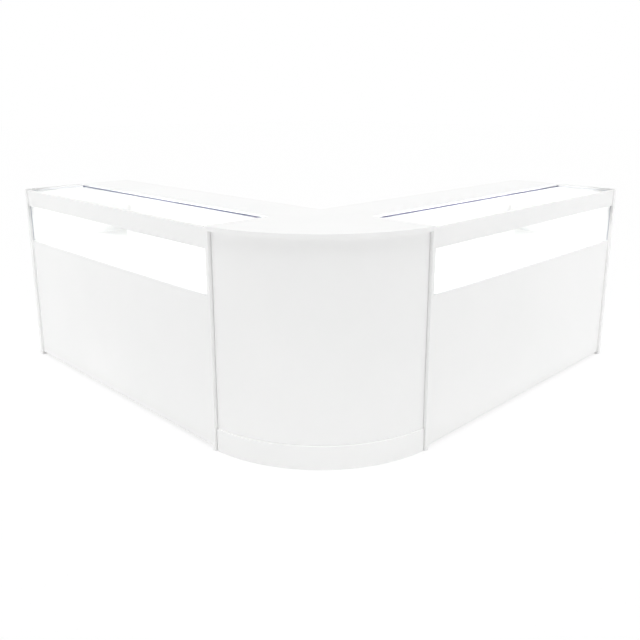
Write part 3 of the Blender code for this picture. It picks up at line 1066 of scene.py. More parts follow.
class CurvedSkinRecipe(Recipe):
    """A curved board round the corner's centre, cut off square at both side planes."""

    NAME = "curved_skin"
    LENGTHS = ("Radius", "Wall", "Shift", "Edge", "Low", "High")
    INPUTS = {**dict.fromkeys(LENGTHS, "Float"), "Steps": "Int"}

    def lay_out(self) -> Socket:
        """Bends a unit block: X runs round the arc, Y through the wall and Z up.

        Returns:
            The board.
        """
        sheet, given = self.sheet, self.given
        block = sheet.take("GeometryNodeMeshCube", {"Vertices X": given["Steps"]})
        spot = sheet.take("GeometryNodeInputPosition")
        axes = sheet.add("ShaderNodeSeparateXYZ", {0: spot}).outputs
        along, through, up = (sheet.maths("ADD", axis, 0.5) for axis in axes)
        inward = sheet.maths("MULTIPLY", through, given["Wall"])
        radius = sheet.maths("SUBTRACT", given["Radius"], inward)
        reach = sheet.maths("ADD", given["Shift"], given["Edge"])
        start = sheet.maths("ARCSINE", sheet.maths("DIVIDE", reach, radius))
        span = sheet.maths("SUBTRACT", math.pi / 2, sheet.maths("MULTIPLY", start, 2.0))
        angle = sheet.maths("ADD", start, sheet.maths("MULTIPLY", along, span))
        place = {}
        for axis, turn in enumerate(("SINE", "COSINE")):
            out = sheet.maths("MULTIPLY", radius, sheet.maths(turn, angle))
            place[axis] = sheet.maths("SUBTRACT", given["Shift"], out)
        height = sheet.maths("SUBTRACT", given["High"], given["Low"])
        place[2] = sheet.maths("ADD", given["Low"], sheet.maths("MULTIPLY", up, height))
        bent = {"Geometry": block, "Position": sheet.take("ShaderNodeCombineXYZ", place)}
        return sheet.take("GeometryNodeSetPosition", bent)


EDGE_STRIP = EdgeStripRecipe()
FITTINGS = FittingRecipe()
CURVED_SKIN = CurvedSkinRecipe()


@dataclass(frozen=True)
class EdgedBoard:
    """A coated board with edging tape all round it."""

    outline: Callable[[float], list[Point2]]
    thickness: float
    holes: Sequence[Sequence[Point2]] = ()
    tape: float = 0.0016
    rounding: float = 0.0009
    seam: float = 0.0001
    corner: float = 0.0014

    def settle(self, piece: Piece, plane: Matrix) -> None:
        """Adds the board's core and its tape to a piece, and settles it.

        Args:
            piece: The piece that they make.
            plane: Matrix of the board's middle plane.
        """
        half = self.thickness / 2
        core = slab(self.outline(self.tape), -half, half, self.holes)
        size = (self.tape, self.thickness)
        rounds = {"Rounding": self.rounding, "Seam": self.seam, "Corner": self.corner}
        strip = EDGE_STRIP.follow(self.outline(self.tape / 2), True, size, EDGING, **rounds)
        piece.add(core, BOARD, plane).add(strip, EDGING, plane).settle(Slot.BOARD)


@dataclass(frozen=True)
class WingAssembly:
    """Pieces of one wing that belong together."""

    wing: Wing

    def box(self, name: str) -> Box:
        """A CAD node's box in the wing's own axes."""
        return self.wing.box(name)

    def piece(self, name: str, node: str = "") -> Piece:
        """Starts a piece of the wing, which may stand for one of its CAD nodes."""
        return Piece(self.wing.node(name), self.wing.matrix, self.wing.node(node) if node else "")

    def board(self, name: str, ending: str, holes: Sequence[Sequence[Point2]] = ()) -> None:
        """Makes a taped board in a CAD node's box.

        Args:
            name: The node's name on this wing.
            ending: What the piece's name adds to it.
            holes: Corners of each hole.
        """
        box = self.box(name)
        board = EdgedBoard(box.outline, box.size[box.thin], holes)
        board.settle(self.piece(name + ending, name), box.plane)


@dataclass(frozen=True)
class Carcass(WingAssembly):
    """Boards of a wing: end panels, fronts, glass rails, deck, storage and worktop."""

    groove_depth: float = 0.008
    edge_round: float = 0.0009
    front_share: float = 0.7

    PLAIN = (
        "front_glass_rail",
        "rear_glass_rail",
        "worktop",
        "deck",
        "base_board",
        "kick_rail",
        "divider",
        "shelf_a",
        "shelf_b",
    )

    def build(self) -> None:
        """Makes every board of the wing."""
        self.board("outer_end_panel", "_taped")
        self.board("inner_end_panel", "_taped", self.bolt_holes())
        for name in self.PLAIN:
            self.board(name, "_taped")
        self.grooved_board("front_panel", groove_at_top=True)
        self.grooved_board("fascia", groove_at_top=False)

    def bolt_holes(self) -> list[list[Point2]]:
        """Holes for the joint bolts through the inner end panel."""
        panel = self.box("inner_end_panel")
        return [panel.hole(self.box(name).middle, BOLT_HOLE, BOLT_HOLE_STEPS) for name in BOLTS]

    def grooved_board(self, name: str, groove_at_top: bool) -> None:
        """Makes a front board whose edge is grooved for the front glass.

        Args:
            name: The CAD node's name on this wing.
            groove_at_top: True where the glass stands in the board's upper edge.
        """
        box, glass = self.box(name), self.box("front_glass")
        front, back = box.low.y, box.high.y
        near, far = glass.low.y - FIT, glass.high.y + FIT
        edge, plain, floor = box.low.z, box.high.z, box.low.z + self.groove_depth
        if groove_at_top:
            edge, plain, floor = box.high.z, box.low.z, box.high.z - self.groove_depth
        section = [(front, plain), (front, edge), (near, edge), (near, floor)]
        section += [(far, floor), (far, edge), (back, edge), (back, plain)]
        bar = soften(slab(section, box.low.x, box.high.x), self.edge_round)

        def finish(face: bmesh.types.BMFace) -> Finish:
            """Board on the front and the back, edging elsewhere."""
            return BOARD if abs(face.normal.x) > self.front_share else EDGING

        self.piece(name + "_taped", name).add(bar, finish, Z_TO_X).settle(Slot.BOARD)


@dataclass(frozen=True)
class Glazing(WingAssembly):
    """Glass panes of a wing, with the thin seals along their edges."""

    arris: float = 0.0005
    top_seal: float = 0.0006
    # Sizes of the seals; the dark rear and end seals are sized so that they also paint shade lines
    # along the glass.
    rear_shade_seal_height: float = 0.0034
    end_shade_seal: float = 0.0008
    sill_seal: float = 0.0005
    face_share: float = 0.99
    rear_share: float = 0.5

    def build(self) -> None:
        """Makes both panes and their seals."""
        for name in ("front_glass", "top_glass"):
            self.pane(name)
        self.top_seals()
        self.front_seals()

    def pane(self, name: str) -> None:
        """Makes a pane with clear faces, a ground rear edge coloured dark as painted shade, and bright
        polished ones.

        Args:
            name: The CAD node's name on this wing.
        """
        box = self.box(name)
        rear = box.plane.inverted().to_3x3() @ Vector((0.0, 1.0, 0.0))

        def finish(face: bmesh.types.BMFace) -> Finish:
            """Clear on the pane's two faces, painted shade on its ground rear edge, bright on the
            others.
            """
            if abs(face.normal.z) > self.face_share:
                return GLASS
            return SHADED_GLASS_EDGE if face.normal.dot(rear) > self.rear_share else BRIGHT_EDGE

        shell = box.shell(self.arris, segments=1)
        self.piece(name + "_pane", name).add(shell, finish, box.plane).settle(Slot.GLASS)

    @staticmethod
    def strip(path: Sequence[Point2], size: Point2, finish: Finish) -> Shell:
        """A seal along a path in a pane's plane, of a width and a height."""
        ease = min(size) / 3
        return EDGE_STRIP.follow(path, False, size, finish, Rounding=ease, Seam=ease, Corner=min(size))

    def top_seals(self) -> None:
        """Makes low seals round three sides of the top glass and a taller dark one along the worktop,
        which also paints the shade line there.
        """
        box = self.box("top_glass")
        piece = self.piece("top_glass_seal")
        width, top = self.top_seal, box.size.z / 2
        wide, deep = box.size.x / 2 - width / 2, box.size.y / 2 - width / 2
        front_end = deep - width / 2
        rear = [(-wide - width / 2, deep), (wide + width / 2, deep)]
        low = [(-wide, front_end), (-wide, -deep), (wide, -deep), (wide, front_end)]
        for path, height, finish in ((low, width, BRIGHT_EDGE), (rear, self.rear_shade_seal_height, SEAL_AND_SHADE)):
            plane = Matrix.Translation(box.middle + Vector((0.0, 0.0, top + height / 2)))
            piece.add(self.strip(path, (width, height), finish), finish, plane)
        piece.settle(Slot.GLASS)

    def front_seals(self) -> None:
        """Makes dark seals up both ends of the front glass, which also paint shade lines there, and a
        pale one along its sill, on the customer side.
        """
        box = self.box("front_glass")
        low = self.box("front_panel").high.z - box.middle.z + FIT
        high = self.box("fascia").low.z - box.middle.z - FIT
        piece = self.piece("front_glass_seal")
        end, sill = ((box.size.x - size) / 2 for size in (self.end_shade_seal, self.sill_seal))
        level = low + self.sill_seal / 2
        seals = [
            ([(low, -end), (high, -end)], self.end_shade_seal, SEAL_AND_SHADE),
            ([(low, end), (high, end)], self.end_shade_seal, SEAL_AND_SHADE),
            ([(level, -sill), (level, sill)], self.sill_seal, BRIGHT_EDGE),
        ]
        for path, size, finish in seals:
            out = Matrix.Translation((0.0, 0.0, -(box.size.y + size) / 2))
            piece.add(self.strip(path, (size, size), finish), finish, box.plane @ out)
        piece.settle(Slot.GLASS)


@dataclass(frozen=True)
class LampBar(WingAssembly):
    """Light bar under the front glass rail: channel, opal cover, end cap and lead inlet."""

    wall: float = 0.0015
    edge_round: float = 0.0003
    cover_wall: float = 0.002
    cover_hollow: float = 0.0006
    hollow_steps: int = 8
    watts: float = 2.7
    light_gap: float = 0.0005
    cap: float = 0.0022
    cap_round: float = 0.0007
    inlet_round: float = 0.0014
    socket_radius: float = 0.0015
    socket_depth: float = 0.008
    collar_radius: float = 0.0032
    collar_length: float = 0.0014
    collar_side: float = 0.6
    collar_face: float = 0.8

    def build(self) -> None:
        """Makes the pieces of the bar."""
        self.channel()
        self.cover()
        self.light()
        self.end_cap()
        self.inlet()

    def channel(self) -> None:
        """Makes the aluminium channel, open towards the doors and the deck."""
        box = self.box("lamp_channel")
        front, back, low, high = box.low.y, box.high.y, box.low.z, box.high.z
        inside, roof = front + self.wall, high - self.wall
        section = [(front, high), (front, low), (inside, low), (inside, roof)]
        section += [(back, roof), (back, high)]
        bar = soften(slab(section, box.low.x, box.high.x), self.edge_round, segments=2)
        piece = self.piece("lamp_channel_bar", "lamp_channel")
        piece.add(bar, ALUMINIUM[self.wing.side], Z_TO_X).settle(Slot.ALUMINIUM)

    def cover_slope(self) -> tuple[Vector, Vector, Vector]:
        """Section of the cover's face.

        Returns:
            Its foot, the run to its head, and the way inwards.
        """
        box = self.box("lamp_diffuser")
        slope = box.size.yz
        return box.low.yz, slope, Vector((-slope.y, slope.x)).normalized()

    def cover(self) -> None:
        """Makes the opal cover, which climbs steeply towards the doors and is slightly hollow."""
        box = self.box("lamp_diffuser")
        foot, slope, inward = self.cover_slope()
        section = [
            foot + slope - Vector((self.cover_wall * slope.length / slope.y, 0.0)),
            foot + Vector((0.0, self.cover_wall * slope.length / slope.x)),
        ]
        for step in range(self.hollow_steps + 1):
            share = step / self.hollow_steps
            depth = self.cover_hollow * 4 * share * (1 - share)
            section.append(foot + slope * share + inward * depth)
        shell = slab([tuple(corner) for corner in section], box.low.x, box.high.x)
        piece = self.piece("lamp_opal_cover", "lamp_diffuser")
        piece.add(shell, LAMP_COVER, Z_TO_X).settle(Slot.LAMP)

    def light(self) -> None:
        """Adds the light that the cover sends out, as a strip lamp along its face."""
        box = self.box("lamp_diffuser")
        foot, slope, inward = self.cover_slope()
        data = bpy.data.lights.new(self.wing.node("lamp_light"), "AREA")
        data.shape = "RECTANGLE"
        data.size, data.size_y = box.size.x, slope.length
        data.energy = self.watts
        data.cycles.use_multiple_importance_sampling = False
        lamp = put(data.name, data)
        middle = foot + slope / 2 - inward * self.light_gap
        along, back = Vector((1.0, 0.0, 0.0)), Vector((0.0, *inward))
        turn = Matrix((along, back.cross(along), back)).transposed().to_4x4()
        lamp.matrix_world = self.wing.matrix @ Matrix.Translation((box.middle.x, *middle)) @ turn
        lamp.visible_camera = False

    def end_cap(self) -> None:
        """Makes the moulded cap on the closed end of the channel."""
        box = self.box("lamp_channel")
        front, back, low, high = box.low.y, box.high.y, box.low.z, box.high.z
        section = [(front, high), (front, low), (front + self.wall, low), (back, high - self.wall)]
        section.append((back, high))
        cap = soften(slab(section, box.low.x - FIT - self.cap, box.low.x - FIT), self.cap_round)
        self.piece("lamp_end_cap").add(cap, CAP_PLASTIC, Z_TO_X).settle(Slot.PLASTIC)

    def inlet(self) -> None:
        """Makes the moulded block with a socket for the lead, and a collar round the socket."""
        box = self.box("lamp_inlet")
        block = box.shell(self.inlet_round)
        block.transform(box.plane)
        mouth = Matrix.Translation((box.high.x, box.middle.y, box.middle.z)) @ Z_TO_X
        bore = slab(circle((0.0, 0.0), self.socket_radius), -self.socket_depth, self.collar_length)
        bore.transform(mouth)
        inner, outer, length = self.socket_radius + FIT / 2, self.collar_radius, self.collar_length
        section = [(inner, 0.0), (outer, 0.0), (outer, length * self.collar_side)]
        section += [(outer * self.collar_face, length), (inner, length)]
        piece = self.piece("lamp_lead_inlet", "lamp_inlet").add(cut(block, bore), CAP_PLASTIC)
        piece.add(lathe(section, ring=True), CAP_PLASTIC, mouth).settle(Slot.PLASTIC)


@dataclass(frozen=True)
class SlidingDoors(WingAssembly):
    """Sliding doors of a showcase with their tracks, finger rings and lock."""

    track_wall: float = 0.002
    track_round: float = 0.0005
    finger_radius: float = 0.015
    finger_inset: float = 0.060
    ring_play: float = 0.0001
    ring_wall: float = 0.0016
    ring_flange: float = 0.0034
    ring_proud: float = 0.0009
    ring_round: float = 0.0004
    lock_hole: float = 0.0098
    barrel_radius: float = 0.0095
    flange_proud: float = 0.002
    plug_radius: float = 0.006
    plug_play: float = 0.0003
    lock_round: float = 0.0006
    keyway_width: float = 0.0022
    keyway_height: float = 0.008
    keyway_depth: float = 0.004

    def build(self) -> None:
        """Makes tracks, doors, rings and lock."""
        self.track("upper_track", opens_up=False)
        self.track("lower_track", opens_up=True)
        self.door("showcase_door")
        lock = self.box("staff_door").hole(self.box("lock_barrel").middle, self.lock_hole)
        self.door("staff_door", lock)
        self.lock_barrel()
        self.lock_plug()

    def track(self, name: str, opens_up: bool) -> None:
        """Makes an extruded track with a channel for either door.

        Args:
            name: The CAD node's name on this wing.
            opens_up: True for the track that the doors stand in.
        """
        box = self.box(name)
        seat, tip = (box.low.z, box.high.z) if opens_up else (box.high.z, box.low.z)
        floor = seat + math.copysign(self.track_wall, tip - seat)
        channel = (box.size.y - 3 * self.track_wall) / 2
        section = [(box.low.y, seat), (box.low.y, tip)]
        for number in range(2):
            inside = box.low.y + self.track_wall + number * (channel + self.track_wall)
            section += [(inside, tip), (inside, floor)]
            section += [(inside + channel, floor), (inside + channel, tip)]
        section += [(box.high.y, tip), (box.high.y, seat)]
        bar = soften(slab(section, box.low.x, box.high.x), self.track_round)
        self.piece(name + "_bar", name).add(bar, TRACK_PLASTIC, Z_TO_X).settle(Slot.PLASTIC)

    def door(self, name: str, *holes: Sequence[Point2]) -> None:
        """Makes a door board and the turned ring that lines its finger hole, flanged on both faces.

        Args:
            name: The CAD node's name on this wing.
            *holes: Corners of each hole besides the finger hole.
        """
        box = self.box(name)
        spot = box.middle
        spot.x = box.low.x + self.finger_inset
        if name == "staff_door":
            spot.x = box.high.x - self.finger_inset
        self.board(name, "_board", [box.hole(spot, self.finger_radius), *holes])
        half = box.size.y / 2 + self.ring_play / 2
        neck = self.finger_radius - self.ring_play
        bore, face, ease = neck - self.ring_wall, half + self.ring_proud, self.ring_round
        upper = [(neck, half), *eased_rim(neck + self.ring_flange, half, face, ease)]
        upper += [(bore + ease, face), (bore, face - ease)]
        ring = lathe(upper + flipped(upper), ring=True)
        body = frame["nodes"][self.wing.node(name)]["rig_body"]
        piece = self.piece(name + "_finger_ring")
        piece.add(ring, NICKEL, Matrix.Translation(spot) @ Z_TO_Y).settle(Slot.NICKEL, body)

    def turned(self, name: str, shell: Shell) -> None:
        """Makes a part of the lock about its axis.

        Args:
            name: The CAD node's name on this wing.
            shell: The part, whose Z runs from the customer side towards the staff.
        """
        box = self.box(name)
        place = Matrix.Translation((box.middle.x, box.low.y, box.middle.z)) @ Z_TO_Y
        self.piece(name + "_turned", name).add(shell, NICKEL, place).settle(Slot.NICKEL)

    def lock_barrel(self) -> None:
        """Makes the turned barrel with a flange on the door, and a bore for the plug."""
        box = self.box("lock_barrel")
        nose, ease, radius = box.size.y, self.lock_round, self.barrel_radius
        seat = self.box("staff_door").size.y + FIT
        face = seat + self.flange_proud
        floor = self.box("lock_plug").low.y - box.low.y - FIT
        bore = self.plug_radius + self.plug_play
        profile = [(0.0, 0.0), (radius, 0.0), (radius, seat)]
        profile += eased_rim(box.size.x / 2, seat, face, ease)
        profile += eased_rim(radius, face, nose, ease)
        profile += [(bore + ease / 2, nose), (bore, nose - ease / 2), (bore, floor), (0.0, floor)]
        self.turned("lock_barrel", lathe(profile))

    def lock_plug(self) -> None:
        """Makes the turned plug with its keyway."""
        length = self.box("lock_plug").size.y
        rim = eased_rim(self.plug_radius, 0.0, length, self.lock_round)
        slot = rectangle(self.keyway_width, self.keyway_height)
        keyway = slab(slot, length - self.keyway_depth, length + self.keyway_depth / 2)
        self.turned("lock_plug", cut(lathe([(0.0, 0.0), *rim, (0.0, length)]), keyway))


@dataclass(frozen=True)
class JointBolts(WingAssembly):
    """Bolts that tie a wing to the corner unit."""

    shank: float = 0.003
    head: float = 0.002
    crown: float = 0.0008
    key_radius: float = 0.0029
    key_depth: float = 0.0014
    key_sides: int = 6

    def build(self) -> None:
        """Makes each bolt, with a six-sided socket in both of its heads."""
        for name in BOLTS:
            box = self.box(name)
            half, seat = box.size.x / 2, box.size.x / 2 - self.head
            end = [(self.shank, seat), *eased_rim(box.size.y / 2, seat, half, self.crown), (0.0, half)]
            sockets = []
            for way in (-1, 1):
                ends = sorted((way * (half - self.key_depth), way * (half + self.head)))
                sockets.append(slab(circle((0.0, 0.0), self.key_radius, self.key_sides), *ends))
            bolt = cut(lathe(flipped(end) + end), *sockets)
            place = Matrix.Translation(box.middle) @ Z_TO_X
            self.piece(name + "_turned", name).add(bolt, NICKEL, place).settle(Slot.NICKEL)


@dataclass(frozen=True)
class ShelfFittings(WingAssembly):
    """Small fittings inside a wing: shelf pegs, peg sleeves and caps over the cam fasteners."""

    row_pitch: float = 0.032
    rows_each_way: int = 4
    row_inset: float = 0.037
    peg_height: float = 0.006
    peg_width: float = 0.010
    peg_length: float = 0.010
    peg_round: float = 0.0012
    sleeve_bore: float = 0.0025
    sleeve_rim: float = 0.0042
    sleeve_proud: float = 0.0008
    sleeve_floor: float = 0.00012
    sleeve_ease: float = 0.0004
    cap_radius: float = 0.0085
    cap_proud: float = 0.0012
    # Shares of the cap's radius and height, up its rim and over its sunk face
    cap_shape: tuple[Point2, ...] = (
        (1.0, 0.0), (1.0, 0.4), (0.93, 1.0), (0.74, 1.0), (0.68, 0.65), (0.0, 0.75),
    )
    cap_inset: float = 0.034
    deck_shares: tuple[float, ...] = (0.15, 0.5, 0.85)
    top_shares: tuple[float, ...] = (0.3, 0.7)
    panel_shares: tuple[float, ...] = (0.25, 0.75)
    fitting_steps: int = 16

    def build(self) -> None:
        """Makes the fittings of the wing, one piece for each kind."""
        pegs, sleeves = self.row_spots()
        block = slab(rectangle(self.peg_height, self.peg_width), 0.0, self.peg_length)
        peg = soften(block, self.peg_round, segments=2)
        self.spread("shelf_pegs", peg, pegs, 0.0, NICKEL, Slot.NICKEL)
        self.spread("peg_sleeves", self.sleeve(), sleeves, 0.0, CAP_PLASTIC, Slot.PLASTIC)
        shape = [(side * self.cap_radius, up * self.cap_proud) for side, up in self.cap_shape]
        cap = lathe([(0.0, 0.0), *shape], self.fitting_steps)
        self.spread("cam_caps", cap, self.cap_spots(), 2 * math.pi, CAP_PLASTIC, Slot.PLASTIC)

    def spread(
        self,
        name: str,
        fitting: Shell,
        spots: list[Spot],
        spin: float,
        finish: Finish,
        slot: Slot,
    ) -> None:
        """Copies a fitting to its spots.

        Args:
            name: The piece's name on this wing.
            fitting: One fitting, whose Z faces out of what carries it.
            spots: The place and the facing of each copy.
            spin: The most that a copy is turned about its own axis.
            finish: The fitting's finish.
            slot: The record's slot.
        """
        master = put(name + "_master", as_mesh(fitting, name + "_master"))
        places, ways = zip(*spots)
        values = {"Fitting": master, "Spin": spin, "Seed": SPIN_SEED, "Finish": finish}
        copies = FITTINGS.run(places, facing=ways, **values)
        drop(master)
        self.piece(name).add(copies, finish).settle(slot)

    def sleeve(self) -> Shell:
        """A flanged sleeve in an unused peg hole.

        Returns:
            The shell of one sleeve.
        """
        rim = eased_rim(self.sleeve_rim, 0.0, self.sleeve_proud, self.sleeve_ease)
        bore = [(self.sleeve_bore, self.sleeve_proud), (self.sleeve_bore, self.sleeve_floor)]
        return lathe([(0.0, 0.0), *rim, *bore, (0.0, self.sleeve_floor)], self.fitting_steps)

    def uprights(self) -> list[tuple[str, float, Vector]]:
        """Faces that carry the shelves.

        Returns:
            The shelf beside each face, its place along X and the way that it faces.
        """
        start, end = (self.box(name) for name in self.wing.ends)
        divider = self.box("divider")
        ahead, back = Vector((1.0, 0.0, 0.0)), Vector((-1.0, 0.0, 0.0))
        return [
            ("shelf_a", start.high.x, ahead),
            ("shelf_a", divider.low.x, back),
            ("shelf_b", divider.high.x, ahead),
            ("shelf_b", end.low.x, back),
        ]

    def row_spots(self) -> tuple[list[Spot], list[Spot]]:
        """Rows of peg holes beside the shelves.

        Returns:
            Spots of the pegs under the shelves, and of the sleeves above and below them.
        """
        pegs, sleeves = [], []
        for shelf, along, facing in self.uprights():
            box = self.box(shelf)
            level = box.low.z - self.peg_height / 2
            for depth in (box.low.y + self.row_inset, box.high.y - self.row_inset):
                for row in range(-self.rows_each_way, self.rows_each_way + 1):
                    spot = Vector((along, depth, level + row * self.row_pitch))
                    (sleeves if row else pegs).append((spot, facing))
        return pegs, sleeves

    def cap_spots(self) -> list[Spot]:
        """Spots of the caps, near both ends of the boards that meet the end panels.

        Returns:
            The place and the facing of each cap.
        """
        down, behind = Vector((0.0, 0.0, -1.0)), Vector((0.0, 1.0, 0.0))
        deck, panel = self.box("deck"), self.box("front_panel")
        spots = []
        for along in (deck.low.x + self.cap_inset, deck.high.x - self.cap_inset):
            for board, shares in ((deck, self.deck_shares), (self.box("worktop"), self.top_shares)):
                for share in shares:
                    depth = board.low.y + share * board.size.y
                    spots.append((Vector((along, depth, board.low.z)), down))
            for share in self.panel_shares:
                level = panel.low.z + share * panel.size.z
                spots.append((Vector((along, panel.high.y, level)), behind))
            for board in (self.box("kick_rail"), self.box("rear_glass_rail")):
                spots.append((Vector((along, board.high.y, board.middle.z)), behind))
        return spots


@dataclass(frozen=True)
class CornerUnit:
    """Quarter-round unit between the wings: curved skins, round-fronted boards and side panels."""

    shift: float = 0.047
    skin_wall: float = 0.008
    plinth_wall: float = 0.018
    skin_gap: float = 0.0028
    skin_round: float = 0.0005
    edge_share: float = 0.5

    FLAT = ("corner_top", "corner_base", "corner_rib")

    @cached_property
    def inner_corner(self) -> Vector:
        """Where the staff sides of the wings meet, on the floor."""
        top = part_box("corner_top")[1]
        return Vector((top.x + FIT, top.y + FIT, 0.0))

    def build(self) -> None:
        """Makes every piece of the corner unit."""
        for name in self.FLAT:
            self.flat_board(name)
        for side in Side:
            self.side_panel(side)
        self.skin("corner_front_panel", self.skin_wall)
        self.skin("corner_plinth", self.plinth_wall)

    def arc(self, radius: float, edge: float) -> list[Point2]:
        """Corners of an arc, from the right wing's side round to the left wing's.

        Args:
            radius: The arc's radius.
            edge: How far from the inner corner's two side planes it stops.

        Returns:
            Corners from the inner corner.
        """
        start = math.asin((self.shift + edge) / radius)
        span = math.pi / 2 - 2 * start
        turns = [start + span * step / ARC_STEPS for step in range(ARC_STEPS + 1)]
        spots = [(radius * math.sin(turn), radius * math.cos(turn)) for turn in turns]
        return [(self.shift - x, self.shift - y) for x, y in spots]

    def radius(self, name: str) -> float:
        """Outer radius of a round piece of the CAD.

        Args:
            name: The CAD node's name.

        Returns:
            The radius about the arc's centre.
        """
        node = frame["nodes"][name]
        centre = self.inner_corner + Vector((self.shift, self.shift, 0.0))
        corners = [node.matrix_world @ vertex.co for vertex in node.data.vertices]
        return max((corner - centre).xy.length for corner in corners)

    def flat_board(self, name: str) -> None:
        """Makes a taped board with two straight sides and a round front.

        Args:
            name: The CAD node's name.
        """
        box = Box(*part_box(name))
        edge = self.inner_corner.x - box.high.x
        radius = self.radius(name)

        def outline(inset: float) -> list[Point2]:
            """Corners of the board, drawn in from its edges."""
            inner = -edge - inset
            return [*self.arc(radius - inset, edge + inset)[::-1], (inner, inner)]

        level = Matrix.Translation((*self.inner_corner.xy, box.middle.z))
        EdgedBoard(outline, box.size.z).settle(Piece(name + "_taped", Matrix(), name), level)

    def side_panel(self, side: Side) -> None:
        """Makes a taped side panel with holes for the joint bolts.

        Args:
            side: The wing that it is tied to.
        """
        name = f"corner_{side.value}_side"
        box = Box(*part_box(name))
        spots = [Box(*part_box(f"{side.value}_{bolt}")).middle for bolt in BOLTS]
        holes = [box.hole(spot, BOLT_HOLE, BOLT_HOLE_STEPS) for spot in spots]
        board = EdgedBoard(box.outline, box.size[box.thin], holes)
        board.settle(Piece(name + "_taped", Matrix(), name), box.plane)

    def skin(self, name: str, wall: float) -> None:
        """Makes a curved board with smooth faces and rounded edges.

        Args:
            name: The CAD node's name.
            wall: The board's thickness.
        """
        low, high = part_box(name)
        shell = CURVED_SKIN.run(
            [(0.0, 0.0, 0.0)],
            Radius=self.radius(name),
            Wall=wall,
            Shift=self.shift,
            Edge=self.skin_gap,
            Low=low.z,
            High=high.z,
            Steps=ARC_STEPS + 1,
            Finish=BOARD,
        )

        def finish(face: bmesh.types.BMFace) -> Finish:
            """Edging on the upper and lower edges, board elsewhere."""
            return EDGING if abs(face.normal.z) > self.edge_share else BOARD

        piece = Piece(name + "_curved", Matrix.Translation(self.inner_corner), name)
        piece.add(soften(shell, self.skin_round), finish).settle(Slot.BOARD)


def hang_lamp(data: bpy.types.Light, place: Vector, way: Vector) -> None:
    """Puts a lamp in the scene, unseen by the camera.

    Args:
        data: The lamp.
        place: Where it hangs.
        way: Which way it shines.
    """
    lamp = put(data.name, data)
    lamp.location = place
    lamp.rotation_euler = way.to_track_quat("-Z", "Y").to_euler()
    lamp.visible_camera = False


@dataclass(frozen=True)
class SoftBox:
    """A square studio lamp."""

    name: str
    place: Point3
    target: Point3
    side: float
    watts: float

    def build(self) -> None:
        """Adds the lamp, unseen by the camera."""
        data = bpy.data.lights.new(self.name, "AREA")
        data.size = self.side
        data.energy = self.watts
        hang_lamp(data, Vector(self.place), Vector(self.target) - Vector(self.place))


@dataclass(frozen=True)
class HighLight:
    """A broad lamp far above, whose light is the same all over the floor."""

    name: str
    way: Point3
    spread: float
    strength: float

    def build(self) -> None:
        """Adds the lamp, unseen by the camera."""
        data = bpy.data.lights.new(self.name, "SUN")
        data.angle = self.spread
        data.energy = self.strength
        hang_lamp(data, Vector(), Vector(self.way))


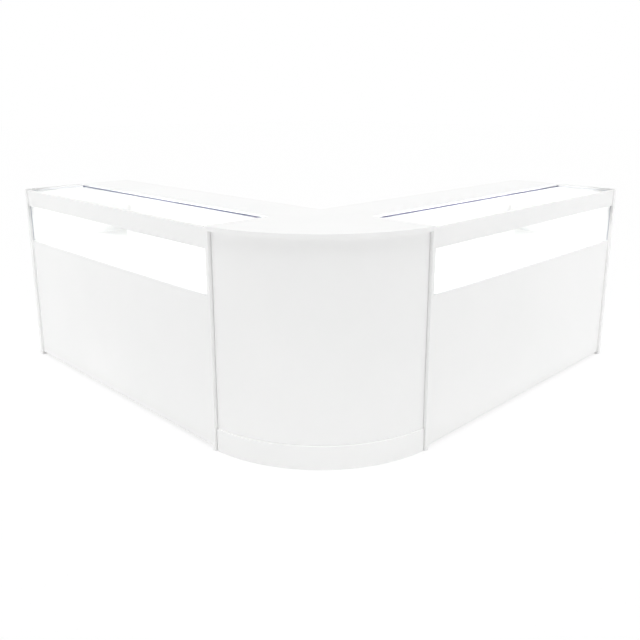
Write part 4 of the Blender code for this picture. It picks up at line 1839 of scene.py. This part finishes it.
@dataclass(frozen=True)
class Studio:
    """Camera, pale floor and plain soft light."""

    eye: Point3 = (-2.594, -2.594, 1.354)
    pitch: float = math.radians(75.89)
    heading: float = math.radians(-45.0)
    sensor: float = 36.0
    lens: float = 40.07
    rise: float = -0.0675
    aside: float = -0.0008
    floor_side: float = 60.0
    floor_drop: float = 0.0005
    floor_colour: Colour = (0.95, 0.95, 0.95)
    floor_lift: float = 0.8
    horizon: float = 0.64
    zenith: float = 0.62
    lamps: tuple[SoftBox | HighLight, ...] = (
        SoftBox("left_soft_box", (-3.1, 2.0, 0.45), (-1.07, 0.9, 0.2), 2.0, 9.8),
        SoftBox("right_soft_box", (2.0, -3.1, 0.45), (0.9, -1.07, 0.2), 2.0, 9.8),
        SoftBox("front_soft_box", (-1.5, -1.5, 0.12), (-0.9, -0.9, 0.08), 0.8, 0.50),
        HighLight("high_light", (0.122, 0.122, -0.985), math.radians(24.0), 1.31),
    )

    def build(self) -> None:
        """Sets up the picture."""
        bpy.context.scene.view_settings.view_transform = "Standard"
        self.camera()
        self.floor()
        self.world()
        for lamp in self.lamps:
            lamp.build()

    def camera(self) -> None:
        """Adds the camera at the photograph's viewing angle."""
        data = bpy.data.cameras.new("camera")
        data.sensor_width = self.sensor
        data.lens = self.lens
        data.shift_x, data.shift_y = self.aside, self.rise
        camera = put("camera", data)
        camera.location = self.eye
        camera.rotation_euler = (self.pitch, 0.0, self.heading)
        bpy.context.scene.camera = camera

    @staticmethod
    def background_ray(sheet: NodeSheet) -> Socket:
        """Tells the rays that show the background: to the camera, on metal and in glass.

        Args:
            sheet: The node sheet of the floor's material or of the world.

        Returns:
            1 for such a ray, else 0.
        """
        ray = sheet.add("ShaderNodeLightPath").outputs
        seen = sheet.maths("MAXIMUM", ray["Is Camera Ray"], ray["Is Glossy Ray"])
        return sheet.maths("MAXIMUM", seen, ray["Is Transmission Ray"])

    def floor(self) -> None:
        """Adds a plain pale floor that keeps the counter's shadow, shown paler to the camera."""
        mesh = bpy.data.meshes.new("studio_floor")
        corners = [(x, y, 0.0) for x, y in rectangle(self.floor_side, self.floor_side)]
        mesh.from_pydata(corners, [], [(0, 1, 2, 3)])
        pale = bpy.data.materials.new("studio_floor")
        pale.use_nodes = True
        sheet = NodeSheet(pale.node_tree)
        matt = sheet.take("ShaderNodeBsdfDiffuse", {"Color": (*self.floor_colour, 1.0)})
        white = sheet.take("ShaderNodeEmission", {"Color": WHITE})
        lift = sheet.maths("MULTIPLY", self.background_ray(sheet), self.floor_lift)
        mixed = sheet.take("ShaderNodeMixShader", {0: lift, 1: matt, 2: white})
        sheet.add("ShaderNodeOutputMaterial", {"Surface": mixed})
        mesh.materials.append(pale)
        ground = put("studio_floor", mesh)
        ground.location.z = -self.floor_drop

    def world(self) -> None:
        """Adds a world that is white to the camera, in glass and on metal, and else a soft sky."""
        world = bpy.data.worlds.new("studio")
        world.use_nodes = True
        sheet = NodeSheet(world.node_tree)
        way = sheet.take("ShaderNodeTexCoord", output="Generated")
        level = sheet.take("ShaderNodeSeparateXYZ", {0: way}, "Z")
        strength = sheet.remap(level, end=(self.horizon, self.zenith))
        sky = sheet.take("ShaderNodeBackground", {"Color": WHITE, "Strength": strength})
        white = sheet.take("ShaderNodeBackground", {"Color": WHITE})
        mixed = sheet.take("ShaderNodeMixShader", {0: self.background_ray(sheet), 1: sky, 2: white})
        sheet.add("ShaderNodeOutputWorld", {"Surface": mixed})
        bpy.context.scene.world = world


def main() -> None:
    """Builds the studio, both wings and the corner unit."""
    logging.basicConfig(level=logging.INFO, format="%(message)s")
    Studio().build()
    for side in Side:
        wing = Wing(side)
        for assembly in (Carcass, Glazing, LampBar, SlidingDoors, JointBolts, ShelfFittings):
            assembly(wing).build()
    CornerUnit().build()


if __name__ == "__main__":
    main()
